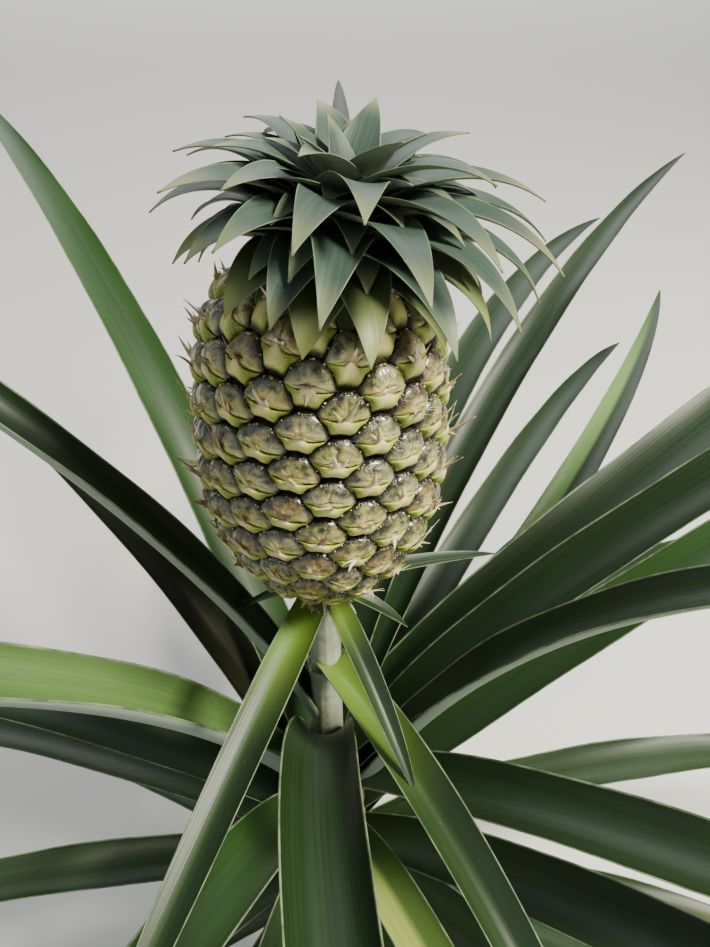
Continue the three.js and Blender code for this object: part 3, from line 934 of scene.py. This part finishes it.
BRACT_COLUMNS = 27
BRACT_ROWS = np.array([0.0, 0.1, 0.25, 0.42, 0.6, 0.78, 0.92, 1.0])
BRACT_RISE = np.array([-4.6, -3.6, -1.6, 0.2, 1.2, 1.6, 1.5, 1.1])
BRACT_DROP = 0.05
BRACT_INSET = 0.97
BRACT_NOTCH = 1.5
BRACT_PINCH = 0.34


def even_path(path, places):
    """Points at even places along open paths. path is (eye, point, 2)."""
    lengths = np.linalg.norm(np.diff(path, axis=1), axis=2)
    reach = np.concatenate([np.zeros((len(path), 1)), np.cumsum(lengths, 1)], 1)
    out = np.zeros((len(path), len(places), 2))
    for e in range(len(path)):
        for k in range(2):
            out[e, :, k] = np.interp(places * reach[e, -1], reach[e], path[e, :, k])
    return out


def build_bracts(sizes, cells):
    """Boat-shaped bracts under the domes: points, faces, places, rims and the middle column."""
    corners = cells[4]
    eyes = len(corners)
    random = np.random.default_rng(8)
    a = np.linspace(0, 1, BRACT_COLUMNS)
    outer = even_path(np.stack([corners[:, 0], corners[:, 5], corners[:, 4], corners[:, 3]], 1), a)
    outer[:, 1:-1] = (outer[:, :-2] + 2 * outer[:, 1:-1] + outer[:, 2:]) / 4
    outer *= BRACT_INSET
    size = np.linalg.norm(corners[:, 4] - corners[:, 1], axis=1)[:, None] / 22
    outer[..., 1] += BRACT_NOTCH * size * bell((a - 0.5, 0.17))[None]
    inner = lower_curve(corners, a, BRACT_DROP)
    fray = 0.22 * np.sin(a[None] * 70 + random.random((eyes, 1)) * 6) * np.sin(np.pi * a)[None]
    lift = 2.4 * bell((a - 0.5, 0.09))[None] * (0.4 + 0.6 * random.random((eyes, 1)))
    inner[..., 1] += (fray + lift) * size
    pinch = BRACT_PINCH * (bell((a - 0.19, 0.1)) + bell((a - 0.81, 0.1)))
    outer = outer + (inner - outer) * pinch[None, :, None]
    b = BRACT_ROWS[None, :, None, None]
    flat = outer[:, None] * (1 - b) + inner[:, None] * b
    horn = 1 - np.abs(2 * a - 1) ** 2.6
    keel = 0.8 * bell((a - 0.5, 0.14))
    relief = BRACT_RISE[:, None] * horn[None] - 2.2 * (1 - horn[None]) + keel[None] * BRACT_ROWS[:, None]
    relief = relief[None] + (sizes.bract_relief / MM - 1.0) * BRACT_ROWS[None, :, None]
    relief = relief * np.clip(size, 0.6, 1)[..., None] + 0.4 * (random.random((eyes, 1, 1)) - 0.5)
    relief = np.maximum(relief, CREVICE)
    back = unit(outer - inner)
    lip_flat = np.stack([inner + back * 0.3, inner + back * 1.0], 1)
    lip_relief = np.stack([relief[:, -1] - 0.6, relief[:, -1] * 0 + CREVICE], 1)
    flat = np.concatenate([flat, lip_flat], 1)
    relief = np.concatenate([relief, lip_relief], 1)
    rows = flat.shape[1]
    flat = flat.reshape(eyes, -1, 2)
    points = on_fruit(cells, flat, relief.reshape(eyes, -1))
    all_faces = repeated(grid_faces(rows, BRACT_COLUMNS), eyes, rows * BRACT_COLUMNS)
    sideways = np.broadcast_to(np.abs(a * 2 - 1)[None, None], (eyes, rows, BRACT_COLUMNS))
    upward = np.concatenate([BRACT_ROWS, [1, 1]])[None, :, None] + 0 * sideways
    dry = upward**2 * bell((sideways, 0.16 + 0.14 * random.random((eyes, 1, 1))))
    spot = np.stack([sideways, upward, dry], -1).reshape(-1, 3)
    middle = BRACT_COLUMNS // 2
    rim = points.reshape(eyes, rows, BRACT_COLUMNS, 3)[:, len(BRACT_ROWS) - 1]
    return points.reshape(-1, 3), all_faces, spot, rim, middle


def ribbon(start, direction, across, curl, length, width, thickness=0.3, fold=0.0, steps=8):
    """A thin pointed blade: closed four-sided sections along a curling line."""
    t = np.linspace(0, 1, steps)
    direction = direction / np.linalg.norm(direction)
    across = across - direction * (across @ direction)
    across = across / np.linalg.norm(across)
    normal = np.cross(across, direction)
    line = start + direction * (length * t)[:, None] + (normal + across * 0.35) * (curl * t**2)[:, None]
    half = (width / 2 * (1 - t**1.2) + 0.1)[:, None]
    thick = (thickness * (1 - 0.6 * t))[:, None]
    wing = normal * half * fold
    left, right = line - across * half + wing, line + across * half + wing
    ring = [left, line - normal * thick, right, line + normal * thick]
    points = np.stack(ring, 1).reshape(-1, 3)
    faces = grid_faces(steps, 4, closed=True)
    last = (steps - 1) * 4
    cap = np.array([[last, last + 1, last + 2, last + 3]])
    return points, np.concatenate([faces, cap])


SPINE_WIDTH = 3.8
SKIRT_POINTS = 34
BALD_SHARE = -0.72
HANGING_SHARE = 0.06
LONG_POINT_SHARE = 0.12
PRONG_SHARE = 0.8


def outward_of(degrees_round):
    """The level direction away from the axis."""
    a = math.radians(degrees_round)
    return np.array([math.sin(a), -math.cos(a), 0.0])


def build_spines(sizes, cells, rim, middle):
    """Dry points on the bracts' rims, some with side prongs, and dry bracts under the fruit."""
    _, angle, share, _, corners = cells
    random = np.random.default_rng(33)
    parts = MeshParts()
    up = np.array([0, 0, 1.0])
    for e in range(len(angle)):
        base = rim[e, middle]
        side = rim[e, middle + 4] - rim[e, middle - 4]
        side = side / np.linalg.norm(side)
        outward = outward_of(angle[e]) + 0.25 * share[e] * up
        size = min(np.linalg.norm(corners[e, 4] - corners[e, 1]) / 20, 1)
        stand = 0.2 + 0.6 * random.random()
        climb = 1.25 - 0.95 * random.random() + min(0, 0.8 * (share[e] + 0.4))
        if random.random() < HANGING_SHARE and share[e] > -0.4:
            climb = -0.5
        sway = (random.random() - 0.5) * 1.2
        direction = outward * stand + up * climb + side * sway
        length = sizes.spine_length / MM * (0.5 + 0.9 * random.random()) * size
        if share[e] < BALD_SHARE:
            length *= 0.55
        elif random.random() < LONG_POINT_SHARE:
            length *= 1.3
        tone = int(random.choice(4, p=(0.35, 0.3, 0.15, 0.2)))
        start = base - outward * 0.7 - up * 0.9
        curl = 4.5 * (random.random() - 0.35)
        parts.add(*ribbon(start, direction, side, curl, length, SPINE_WIDTH * size, 0.25, 0.2), tone)
        for sign in (-1, 1):
            if random.random() > PRONG_SHARE:
                continue
            fork = direction + side * sign * (0.25 + 0.6 * random.random())
            reach = length * (0.35 + 0.5 * random.random())
            root = start + side * sign * 1.2
            parts.add(*ribbon(root, fork, side, curl / 2, reach, 2.6 * size, 0.2), tone)
    for k in range(SKIRT_POINTS):
        outward = outward_of(k * GOLDEN_TURN)
        start = outward * (13 + 9 * random.random()) + up * (FRUIT_BASE + 2 + 5 * random.random())
        direction = outward - up * (0.1 + 0.6 * random.random())
        side = outward_of(k * GOLDEN_TURN + 90)
        curl = -3 * random.random()
        strip = ribbon(start, direction, side, curl, 8 + 10 * random.random(), 4.5, 0.3, 0.3)
        parts.add(*strip, int(random.integers(0, 4)))
    return parts


def sphere_mesh(rings=4, spokes=6):
    """A small ball of radius 1: points and quads."""
    polar = np.linspace(0.12, np.pi - 0.12, rings)
    around = np.arange(spokes) / spokes * 2 * np.pi
    p, q = np.meshgrid(polar, around, indexing="ij")
    points = np.stack([np.sin(p) * np.cos(q), np.sin(p) * np.sin(q), np.cos(p)], -1).reshape(-1, 3)
    faces = grid_faces(rings, spokes, closed=True)[:, [0, 3, 2, 1]]
    return points, faces


BEADS = 15
BEAD_RING = 0.88


def build_beads(sizes, cells, loop, centre, height):
    """Pale beads along the upper rim of each dome: dried teeth, whose pale colour is partly a painted
    highlight.
    """
    random = np.random.default_rng(5)
    eyes = len(cells[0])
    places = 3 + 19 * random.random((eyes, BEADS))
    index = np.clip(places.astype(int), 0, DOME_SPOKES - 1)
    chosen = np.take_along_axis(loop, index[..., None], 1)
    ring = BEAD_RING + 0.07 * (random.random((eyes, BEADS, 1)) - 0.5)
    flat = centre + (chosen - centre) * ring
    relief = CREVICE + (height - CREVICE) * (1 - ring[..., 0] ** DOME_ROUND) ** 0.6 + 0.2
    at = on_fruit(cells, flat, relief).reshape(-1, 1, 3)
    ball, faces = sphere_mesh()
    size = sizes.bead_radius / MM * (0.3 + 1.1 * random.random((len(at), 1, 1)) ** 2)
    long = np.array([1.3, 1.3, 1])[None, None]
    points = (at + ball[None] * size * long).reshape(-1, 3)
    return points, repeated(faces, len(at), len(ball))


# Turned bodies


def turned_points(profile, spokes, wobble=None):
    """Rows of points round the axis from (radius, height) pairs. wobble changes the radius."""
    profile = np.asarray(profile, float)
    around = np.arange(spokes) / spokes * 2 * np.pi
    radius = np.repeat(profile[:, :1], spokes, 1)
    height = np.repeat(profile[:, 1:], spokes, 1)
    if wobble is not None:
        radius = radius + wobble(around[None, :], height) * (radius > 0.5)
    points = np.stack([radius * np.sin(around), -radius * np.cos(around), height], -1)
    return points.reshape(-1, 3)


def smooth_profile(profile, step):
    """A finer profile with rounded corners."""
    profile = np.asarray(profile, float)
    lengths = np.hypot(*np.diff(profile, axis=0).T)
    reach = np.concatenate([[0], np.cumsum(lengths)])
    places = np.linspace(0, reach[-1], int(reach[-1] / step) + 2)
    return np.stack([np.interp(places, reach, profile[:, k]) for k in range(2)], 1)


# Operators


TOOTH_SPACING = 9.0

# Stations along a leaf and columns across it
ROSETTE_DETAIL = (96, 19)
OLD_DETAIL = (72, 15)
STALK_DETAIL = (64, 15)
CROWN_DETAIL = (34, 11)
SHORT_DETAIL = (20, 11)
COLLAR_DETAIL = (16, 9)


class PineappleOperator:
    """What every piece's operator shares."""

    bl_options = {"REGISTER", "UNDO"}

    @property
    def sizes(self):
        return bpy.context.scene.pineapple_sizes

    @property
    def colours(self):
        return bpy.context.scene.pineapple_colours

    def build_leaf(self, name, slot, shape, kind, detail, seed, thinner=1.0, finer=1.0):
        """One leaf as a piece that stands for its solid. detail is its stations and columns."""
        thickness = self.sizes.blade_thickness / MM * thinner
        points, faces, chosen, blade, rim = blade_mesh(shape, *detail, thickness)
        parts = MeshParts()
        parts.add(points, faces, chosen, blade)
        add_teeth(parts, shape, rim, TOOTH_SPACING, self.sizes.margin_tooth / MM * finer, seed)
        parts.piece(name + "_blade", name, slot, leaf_materials(self.colours, kind))


def named_material(name, make, *values, **named):
    """A material by name, made the first time that it is wanted."""
    return bpy.data.materials.get(name) or make(name, *values, **named)


def leaf_materials(colours, kind):
    """Upper face, under face and margin of a kind of leaf."""
    dark, light, wax_and_sheen = colours.leaf_dark, colours.leaf_light, colours.leaf_wax_and_sheen
    young, fresh = colours.young_dark, colours.young_light
    moss, olive = "2a491c", "2a2d17"
    looks = {
        "dark": dict(dark=dark, light=light, foot=light, tip=dark, gloss=0.42, sheen=wax_and_sheen),
        "old": dict(dark=dark, light="33472a", foot=light, tip="6f6a3a", gloss=0.42),
        "olive": dict(dark="15170d", light=olive, foot=olive, tip=dark, gloss=0.34),
        # "mid" and "light": paler copies of the dark leaf, painted light for sunlit leaves.
        "mid": dict(dark=light, light=moss, foot=light, tip=light, gloss=0.42, sheen=wax_and_sheen),
        "light": dict(dark="344d25", light="55713b", foot=moss, tip=moss, gloss=0.48),
        # sided: a painted lit half, paler on one side of the channel.
        "sided": dict(dark=dark, light=light, foot=light, tip=light, gloss=0.34, half="6b8a50"),
        "stalk": dict(dark=young, light=fresh, foot="6f8f2d", tip=young, gloss=0.36),
        # yellow: a painted shaded half, darker on one side of the channel.
        "yellow": dict(dark="6c7c33", light="98a350", foot=moss, tip=olive, gloss=0.4, half=moss),
    }
    # stalk: a painted shaded half, darker on one side of the channel.
    looks["stalk"].update(half="1b2b19", foot_end=0.4)
    return [
        named_material("leaf_" + kind, leaf_material, **looks[kind]),
        named_material("leaf_underside", underside_material, colours.silver, "5d7460"),
        named_material("leaf_margin", margin_material, colours.margin, "43563a"),
    ]


STEM_OUTLINE = [[0, 0], [25, 0], [28, 25], [31, 90], [29, 165], [21, 225], [14, STEM_TOP], [0, STEM_TOP]]
STEM_SPOKES = 72
STEM_SCALES = 34

# Heights, and how far from the axis the dry feet of lost leaves start there
SCALE_HEIGHTS = (0, 25, 90, 165)
SCALE_RADII = (24, 27, 30, 28)


def scars(around, height):
    """Relief of the stem: the scars of lost leaves in a spiral, and fibres."""
    ring = np.abs((height / 9 + around / (2 * np.pi)) % 1 - 0.5) * 2
    fibre = np.sin(around * 31 + height * 0.2) * 0.25 + np.sin(around * 17 - height * 0.1) * 0.3
    return -1.2 * ring**4 + fibre - 0.3


class PINEAPPLE_OT_stem(PineappleOperator, bpy.types.Operator):
    """Builds the fibrous stem with the scars and dry feet of lost leaves"""

    bl_idname = "pineapple.stem"
    bl_label = "Stem"

    def execute(self, context):
        materials = [
            plain_material("stem_bark", self.colours.bark, "3c3222", 0.85, 40.0, 260.0, 0.0012),
            plain_material("stem_scale", "8a7550", "54452f", 0.8, 60.0, 400.0, 0.0008),
        ]
        profile = smooth_profile(STEM_OUTLINE, 1.6)
        parts = MeshParts()
        faces = grid_faces(len(profile), STEM_SPOKES, closed=True)
        parts.add(turned_points(profile, STEM_SPOKES, scars), faces, 0)
        random = np.random.default_rng(14)
        for k in range(STEM_SCALES):
            height = 6 + 2.6 * k
            outward = outward_of(k * GOLDEN_TURN)
            side = np.array([-outward[1], outward[0], 0])
            radius = float(np.interp(height, SCALE_HEIGHTS, SCALE_RADII))
            start = outward * radius + np.array([0, 0, height])
            direction = outward * (0.3 + 0.3 * random.random()) + np.array([0, 0, 1.0])
            strip = ribbon(start, direction, side, -3 * random.random(), 12 + 14 * random.random(), 22, 0.6)
            parts.add(*strip, 1)
        parts.piece("stem_body", "stem", "stem", materials)
        return {"FINISHED"}


STALK_RADIUS = 9.6
STALK_SPOKES = 60
STALK_RINGS = (338, 400)
RING_REACH = 2.6

# Outline of a node ring: radius over the stalk's, height over the ring's middle
RING_OUTLINE = ((0, -9), (0, -2.5), (1.7, -0.8), (1.4, 1.2), (-0.3, 2.4), (0, 6))


def ribs(around, height):
    """Relief of the stalk: faint upright ribs."""
    return 0.1 * np.sin(around * 11 + height * 0.02) + 0.05 * np.sin(around * 23 + 1.3)


class PINEAPPLE_OT_stalk(PineappleOperator, bpy.types.Operator):
    """Builds the fruit's stalk with its rings and pale bloom"""

    bl_idname = "pineapple.stalk"
    bl_label = "Stalk"

    def execute(self, context):
        materials = [
            plain_material("stalk_bloom", self.colours.stalk, "8d9679", 0.6, 55.0, 300.0, 0.0005),
            plain_material("stalk_ring", "4a4a35", "7c8460", 0.7, 160.0, 500.0, 0.0008),
        ]
        profile = [[0, STEM_TOP], [STALK_RADIUS + 2, STEM_TOP]]
        for ring in STALK_RINGS:
            profile += [[STALK_RADIUS + wider, ring + higher] for wider, higher in RING_OUTLINE]
        profile += [[STALK_RADIUS + 2, FRUIT_BASE], [0, FRUIT_BASE + 1]]
        profile = smooth_profile(profile, 0.9)
        points = turned_points(profile, STALK_SPOKES, ribs)
        faces = grid_faces(len(profile), STALK_SPOKES, closed=True)
        heights = points[faces][..., 2].mean(1)
        scarred = np.abs(heights[:, None] - np.array(STALK_RINGS)).min(1) < RING_REACH
        make_piece("stalk_body", "stalk", points, faces, materials, scarred)
        return {"FINISHED"}


class PINEAPPLE_OT_rosette(PineappleOperator, bpy.types.Operator):
    """Builds the long upper leaves of the rosette"""

    bl_idname = "pineapple.rosette"
    bl_label = "Rosette leaves"

    def execute(self, context):
        random = np.random.default_rng(2)
        for i, leaf in enumerate(ROSETTE):
            kind = ROSETTE_KINDS.get(i + 1, "dark")
            shape = {**ROSETTE_SHAPE, **leaf}
            shape.update({"keel": 0.9, "hem": 8, "ripple": 0.7, "roll": 3 * (random.random() - 0.5)})
            if shape["foot"] >= HUGGING_FOOT:
                shape["foot_radius"] = HUGGING_RADIUS
            if shape["cup"] >= DEEP_CUP:
                shape.update({"keel": 1.0, "hem": 0})
            self.build_leaf(f"leaf_{i + 1}", "leaf", shape, kind, ROSETTE_DETAIL, 100 + i)
        return {"FINISHED"}


class PINEAPPLE_OT_old_leaves(PineappleOperator, bpy.types.Operator):
    """Builds the older leaves, which spread and droop under the others"""

    bl_idname = "pineapple.old_leaves"
    bl_label = "Old leaves"

    def execute(self, context):
        random = np.random.default_rng(3)
        for number, leaf in old_leaves().items():
            look = {"keel": 0.9, "hem": 18, "ripple": 1.2, "roll": 22 * (random.random() - 0.5)}
            shape = {**leaf, **look}
            self.build_leaf(f"old_leaf_{number}", "old_leaf", shape, "old", OLD_DETAIL, 200 + number)
        return {"FINISHED"}


class PINEAPPLE_OT_stalk_leaves(PineappleOperator, bpy.types.Operator):
    """Builds the leaves and small bracts on the stalk"""

    bl_idname = "pineapple.stalk_leaves"
    bl_label = "Stalk leaves"

    def execute(self, context):
        for i, leaf in enumerate(STALK_LEAVES):
            shape = {**STALK_LEAF_SHAPE, "keel": 0.5, "hem": 6, "ripple": 0.2, **leaf}
            name = f"stalk_leaf_{i + 1}"
            self.build_leaf(name, "stalk_leaf", shape, "stalk", STALK_DETAIL, 300 + i, thinner=0.7, finer=0.6)
        return {"FINISHED"}


FLESH_STEPS = 90
DOME_KIND_SHARES = (0.55, 0.2, 0.25)


class PINEAPPLE_OT_fruit(PineappleOperator, bpy.types.Operator):
    """Builds the fruit: its body, the domes of its eyes, their beads, bracts and dry points"""

    bl_idname = "pineapple.fruit"
    bl_label = "Fruit"

    def execute(self, context):
        sizes, colours = self.sizes, self.colours
        flesh = [plain_material("fruit_flesh", colours.crevice, "2c2e16", 0.7, 120.0, 500.0, 0.0005)]
        share = np.linspace(-0.955, 0.968, FLESH_STEPS)
        body = fruit_point(np.zeros(FLESH_STEPS), share, CREVICE + 0.2)
        profile = np.stack([-body[:, 1], body[:, 2]], 1)
        profile = np.vstack([[0, profile[0, 1]], profile, [0, profile[-1, 1]]])
        faces = grid_faces(len(profile), FLESH_STEPS, closed=True)
        make_piece("fruit_flesh", "fruit", turned_points(profile, FLESH_STEPS), faces, flesh)

        cells, points, faces, spot, loop, centre = build_domes(sizes)
        # The third colour of each dome is its lower part's: partly its own greener colour, partly a painted
        # highlight.
        domes = [
            dome_material("dome_olive", colours.dome_dark, colours.dome_light, "c2b866"),
            dome_material("dome_grey", "252a1b", "868459", "c6c47c"),
            dome_material("dome_brown", "30260f", "7a6736", "bcb35c"),
        ]
        kinds = np.random.default_rng(9).choice(3, len(cells[0]), p=DOME_KIND_SHARES)
        chosen = np.repeat(kinds, len(faces) // len(cells[0]))
        make_piece("fruit_domes", "fruit", points, faces, domes, chosen, spot)

        bracts = [bract_material("bract_skin", colours.bract_pale, colours.bract_green, colours.dry)]
        points, faces, spot, rim, middle = build_bracts(sizes, cells)
        make_piece("fruit_bracts", "fruit", points, faces, bracts, 0, spot)

        dried = [
            plain_material("dry_" + name, first, second, roughness, 200.0, 900.0, 0.0003)
            for name, first, second, roughness in (
                ("beige", colours.dry, "b39b76", 0.7),
                ("pale", "ebe2c8", "c9b893", 0.7),
                ("brown", "a98c6c", "75603f", 0.7),
                ("green", "cccb8e", "a8a266", 0.6),
            )
        ]
        build_spines(sizes, cells, rim, middle).piece("fruit_spines", "fruit", "fruit", dried)

        # Pale beads: dried teeth on the rim, their pale colour partly a painted highlight.
        bead = [plain_material("dome_beads", "cdc9a4", "8f8b62", 0.3, 260.0, 900.0, 0.0002)]
        points, faces = build_beads(sizes, cells, loop, centre, sizes.dome_height / MM)
        make_piece("fruit_beads", "fruit", points, faces, bead)
        return {"FINISHED"}


# Material numbers of the crown's piece
UPPER, LOW, DRY = 0, 3, 4


def add_crown_leaf(parts, shape, detail, thickness, upper, turn=None):
    """One leaf of the crown with its own upper face, and its rim."""
    points, faces, chosen, blade, rim = blade_mesh(shape, *detail, thickness, turn)
    parts.add(points, faces, np.where(chosen == UPPER, upper, chosen), blade)
    return rim


class PINEAPPLE_OT_crown(PineappleOperator, bpy.types.Operator):
    """Builds the crown: waxy recurved leaves on a short core"""

    bl_idname = "pineapple.crown"
    bl_label = "Crown"

    def execute(self, context):
        dark, light = self.colours.crown_dark, self.colours.crown_light
        green = "44532f"
        materials = [
            leaf_material("crown_upper", dark, light, light, self.colours.crown_tip, 0.45),
            underside_material("crown_underside", "8d9179", "5f6b52"),
            margin_material("crown_margin", "747f5c", "53614a"),
            leaf_material("crown_low", "2f3d25", green, light, "858f4c", 0.42, tip_start=0.45),
            leaf_material("crown_dry", dark, light, green, "8c8860", 0.5, tip_start=0.65),
        ]
        parts = MeshParts()
        leaves = crown_leaves()
        random = np.random.default_rng(17)
        for i, leaf in enumerate(leaves):
            shape = {**leaf, "keel": 0.8, "hem": 10, "ripple": 0.2, "cup": 28}
            upper = LOW if i < CROWN_GREEN_LEAVES else DRY if random.random() < DRY_TIP_SHARE else UPPER
            rim = add_crown_leaf(parts, shape, CROWN_DETAIL, 1.7, upper, lean)
            add_teeth(parts, shape, rim, 3.6, 1.0, 400 + i)
        for leaf in leaves[SHORT_FIRST:SHORT_LAST]:
            shape = {**leaf, "keel": 0.8, "hem": 8, "ripple": 0.2, "cup": 26, "rise": leaf["rise"] + 4}
            shape["at"] = leaf["at"] + GOLDEN_TURN / 2
            shape["length"] = leaf["length"] * (SHORT_SHARE + 0.16 * random.random())
            shape["width"] = SHORT_WIDTH
            upper = DRY if random.random() < SHORT_DRY_SHARE else UPPER
            add_crown_leaf(parts, shape, SHORT_DETAIL, 1.6, upper, lean)
        for k in range(COLLAR_LEAVES):
            size = 0.8 + 0.4 * random.random()
            shape = {**CROWN_SHAPE, **COLLAR_SHAPE, "foot": FRUIT_TOP - 1, "foot_radius": COLLAR_RADIUS}
            shape.update({"at": CROWN_START + 60 + GOLDEN_TURN * k, "length": 31 * size, "width": 21 * size})
            add_crown_leaf(parts, shape, COLLAR_DETAIL, 1.4, LOW)
        core = smooth_profile([[radius, FRUIT_TOP + height] for radius, height in CROWN_CORE], 2)
        parts.add(lean(turned_points(core, 32)), grid_faces(len(core), 32, closed=True), 1)
        parts.piece("crown_leaves", "crown", "crown", materials)
        return {"FINISHED"}


# Stage: the camera, as solved from the photo, the floor and the lights, in metres and degrees

CAMERA_PLACE = (0.0, -0.305, 0.7306)
CAMERA_DOWN = 38.37
CAMERA_YAW = -3.11
CAMERA_ROLL = 0.9
CAMERA_LENS = 28.9
SENSOR_WIDTH = 36.0
FLOOR_REACH = 30.0
SKY_COLOUR = (0.86, 0.92, 1.0, 1.0)
SKY_STRENGTH = 0.3
PLANT_MIDDLE = (0.0, 0.0, 0.5)

# Each light's name, place, target, size, watts and colour
LIGHTS = (
    ("key", (1.5, -0.6, 2.3), PLANT_MIDDLE, 0.6, 185.0, (1.0, 0.95, 0.82)),
    ("fill", (-2.0, -1.2, 1.9), PLANT_MIDDLE, 2.2, 12.0, (0.88, 0.94, 1.0)),
    ("back", (-0.6, 2.4, 2.2), PLANT_MIDDLE, 2.0, 12.0, (0.95, 1.0, 1.0)),
    ("wash", (0.0, 9.0, 6.0), (0.0, 9.0, 0.0), 9.0, 900.0, (1.0, 1.0, 1.0)),
)


def camera_axes():
    """Right, up and back of the camera, from how far it looks down, its yaw and its roll."""
    down, yaw, roll = (math.radians(v) for v in (CAMERA_DOWN, CAMERA_YAW, CAMERA_ROLL))
    back = Vector((math.sin(yaw) * math.cos(down), -math.cos(yaw) * math.cos(down), math.sin(down)))
    right = Vector((0, 0, 1)).cross(back).normalized()
    up = back.cross(right)
    return (
        right * math.cos(roll) + up * math.sin(roll),
        up * math.cos(roll) - right * math.sin(roll),
        back,
    )


def add_light(name, place, target, size, watts, colour):
    """A soft square light that looks at a target."""
    data = bpy.data.lights.new(name, "AREA")
    data.size = size
    data.energy = watts
    data.color = colour
    light = bpy.data.objects.new(name, data)
    light.location = place
    light.rotation_euler = (Vector(target) - Vector(place)).to_track_quat("-Z", "Y").to_euler()
    bpy.context.scene.collection.objects.link(light)


class PINEAPPLE_OT_stage(PineappleOperator, bpy.types.Operator):
    """Sets the floor, the soft lights and the camera"""

    bl_idname = "pineapple.stage"
    bl_label = "Stage"

    def execute(self, context):
        scene = context.scene
        mesh = bpy.data.meshes.new("floor")
        corners = [(x * FLOOR_REACH, y * FLOOR_REACH, 0) for x, y in ((-1, -1), (1, -1), (1, 1), (-1, 1))]
        mesh.from_pydata(corners, [], [(0, 1, 2, 3)])
        mesh.materials.append(Paint("floor_paint", self.colours.floor, 0.9, 0.2).finish())
        floor = bpy.data.objects.new("floor", mesh)
        scene.collection.objects.link(floor)

        world = bpy.data.worlds.new("studio")
        world.use_nodes = True
        background = world.node_tree.nodes["Background"]
        background.inputs["Color"].default_value = SKY_COLOUR
        background.inputs["Strength"].default_value = SKY_STRENGTH
        scene.world = world
        for light in LIGHTS:
            add_light(*light)

        data = bpy.data.cameras.new("camera")
        data.lens = CAMERA_LENS
        data.sensor_width = SENSOR_WIDTH
        data.clip_start = 0.01
        data.clip_end = 100.0
        camera = bpy.data.objects.new("camera", data)
        right, up, back = camera_axes()
        turn = Matrix((right, up, back)).transposed()
        camera.matrix_world = Matrix.Translation(CAMERA_PLACE) @ turn.to_4x4()
        scene.collection.objects.link(camera)
        scene.camera = camera
        return {"FINISHED"}


class PINEAPPLE_PT_panel(bpy.types.Panel):
    """Lists the plant's pieces and their sizes and colours"""

    bl_label = "Pineapple Plant"
    bl_idname = "PINEAPPLE_PT_panel"
    bl_space_type = "VIEW_3D"
    bl_region_type = "UI"
    bl_category = "Pineapple"

    def draw(self, context):
        layout = self.layout
        for operator in PIECE_OPERATORS:
            layout.operator(operator.bl_idname)
        for group in (context.scene.pineapple_sizes, context.scene.pineapple_colours):
            box = layout.box()
            for name in group.bl_rna.properties.keys():
                if name not in ("rna_type", "name"):
                    box.prop(group, name)


PIECE_OPERATORS = (
    PINEAPPLE_OT_stem,
    PINEAPPLE_OT_stalk,
    PINEAPPLE_OT_rosette,
    PINEAPPLE_OT_old_leaves,
    PINEAPPLE_OT_stalk_leaves,
    PINEAPPLE_OT_fruit,
    PINEAPPLE_OT_crown,
    PINEAPPLE_OT_stage,
)
CLASSES = (PineappleSizes, PineappleColours, *PIECE_OPERATORS, PINEAPPLE_PT_panel)


def register():
    for each in CLASSES:
        bpy.utils.register_class(each)
    bpy.types.Scene.pineapple_sizes = PointerProperty(type=PineappleSizes)
    bpy.types.Scene.pineapple_colours = PointerProperty(type=PineappleColours)


def unregister():
    del bpy.types.Scene.pineapple_colours
    del bpy.types.Scene.pineapple_sizes
    for each in reversed(CLASSES):
        bpy.utils.unregister_class(each)


def main():
    """Builds every piece and the stage."""
    register()
    for operator in PIECE_OPERATORS:
        family, name = operator.bl_idname.split(".")
        getattr(getattr(bpy.ops, family), name)()


if __name__ == "__main__":
    main()
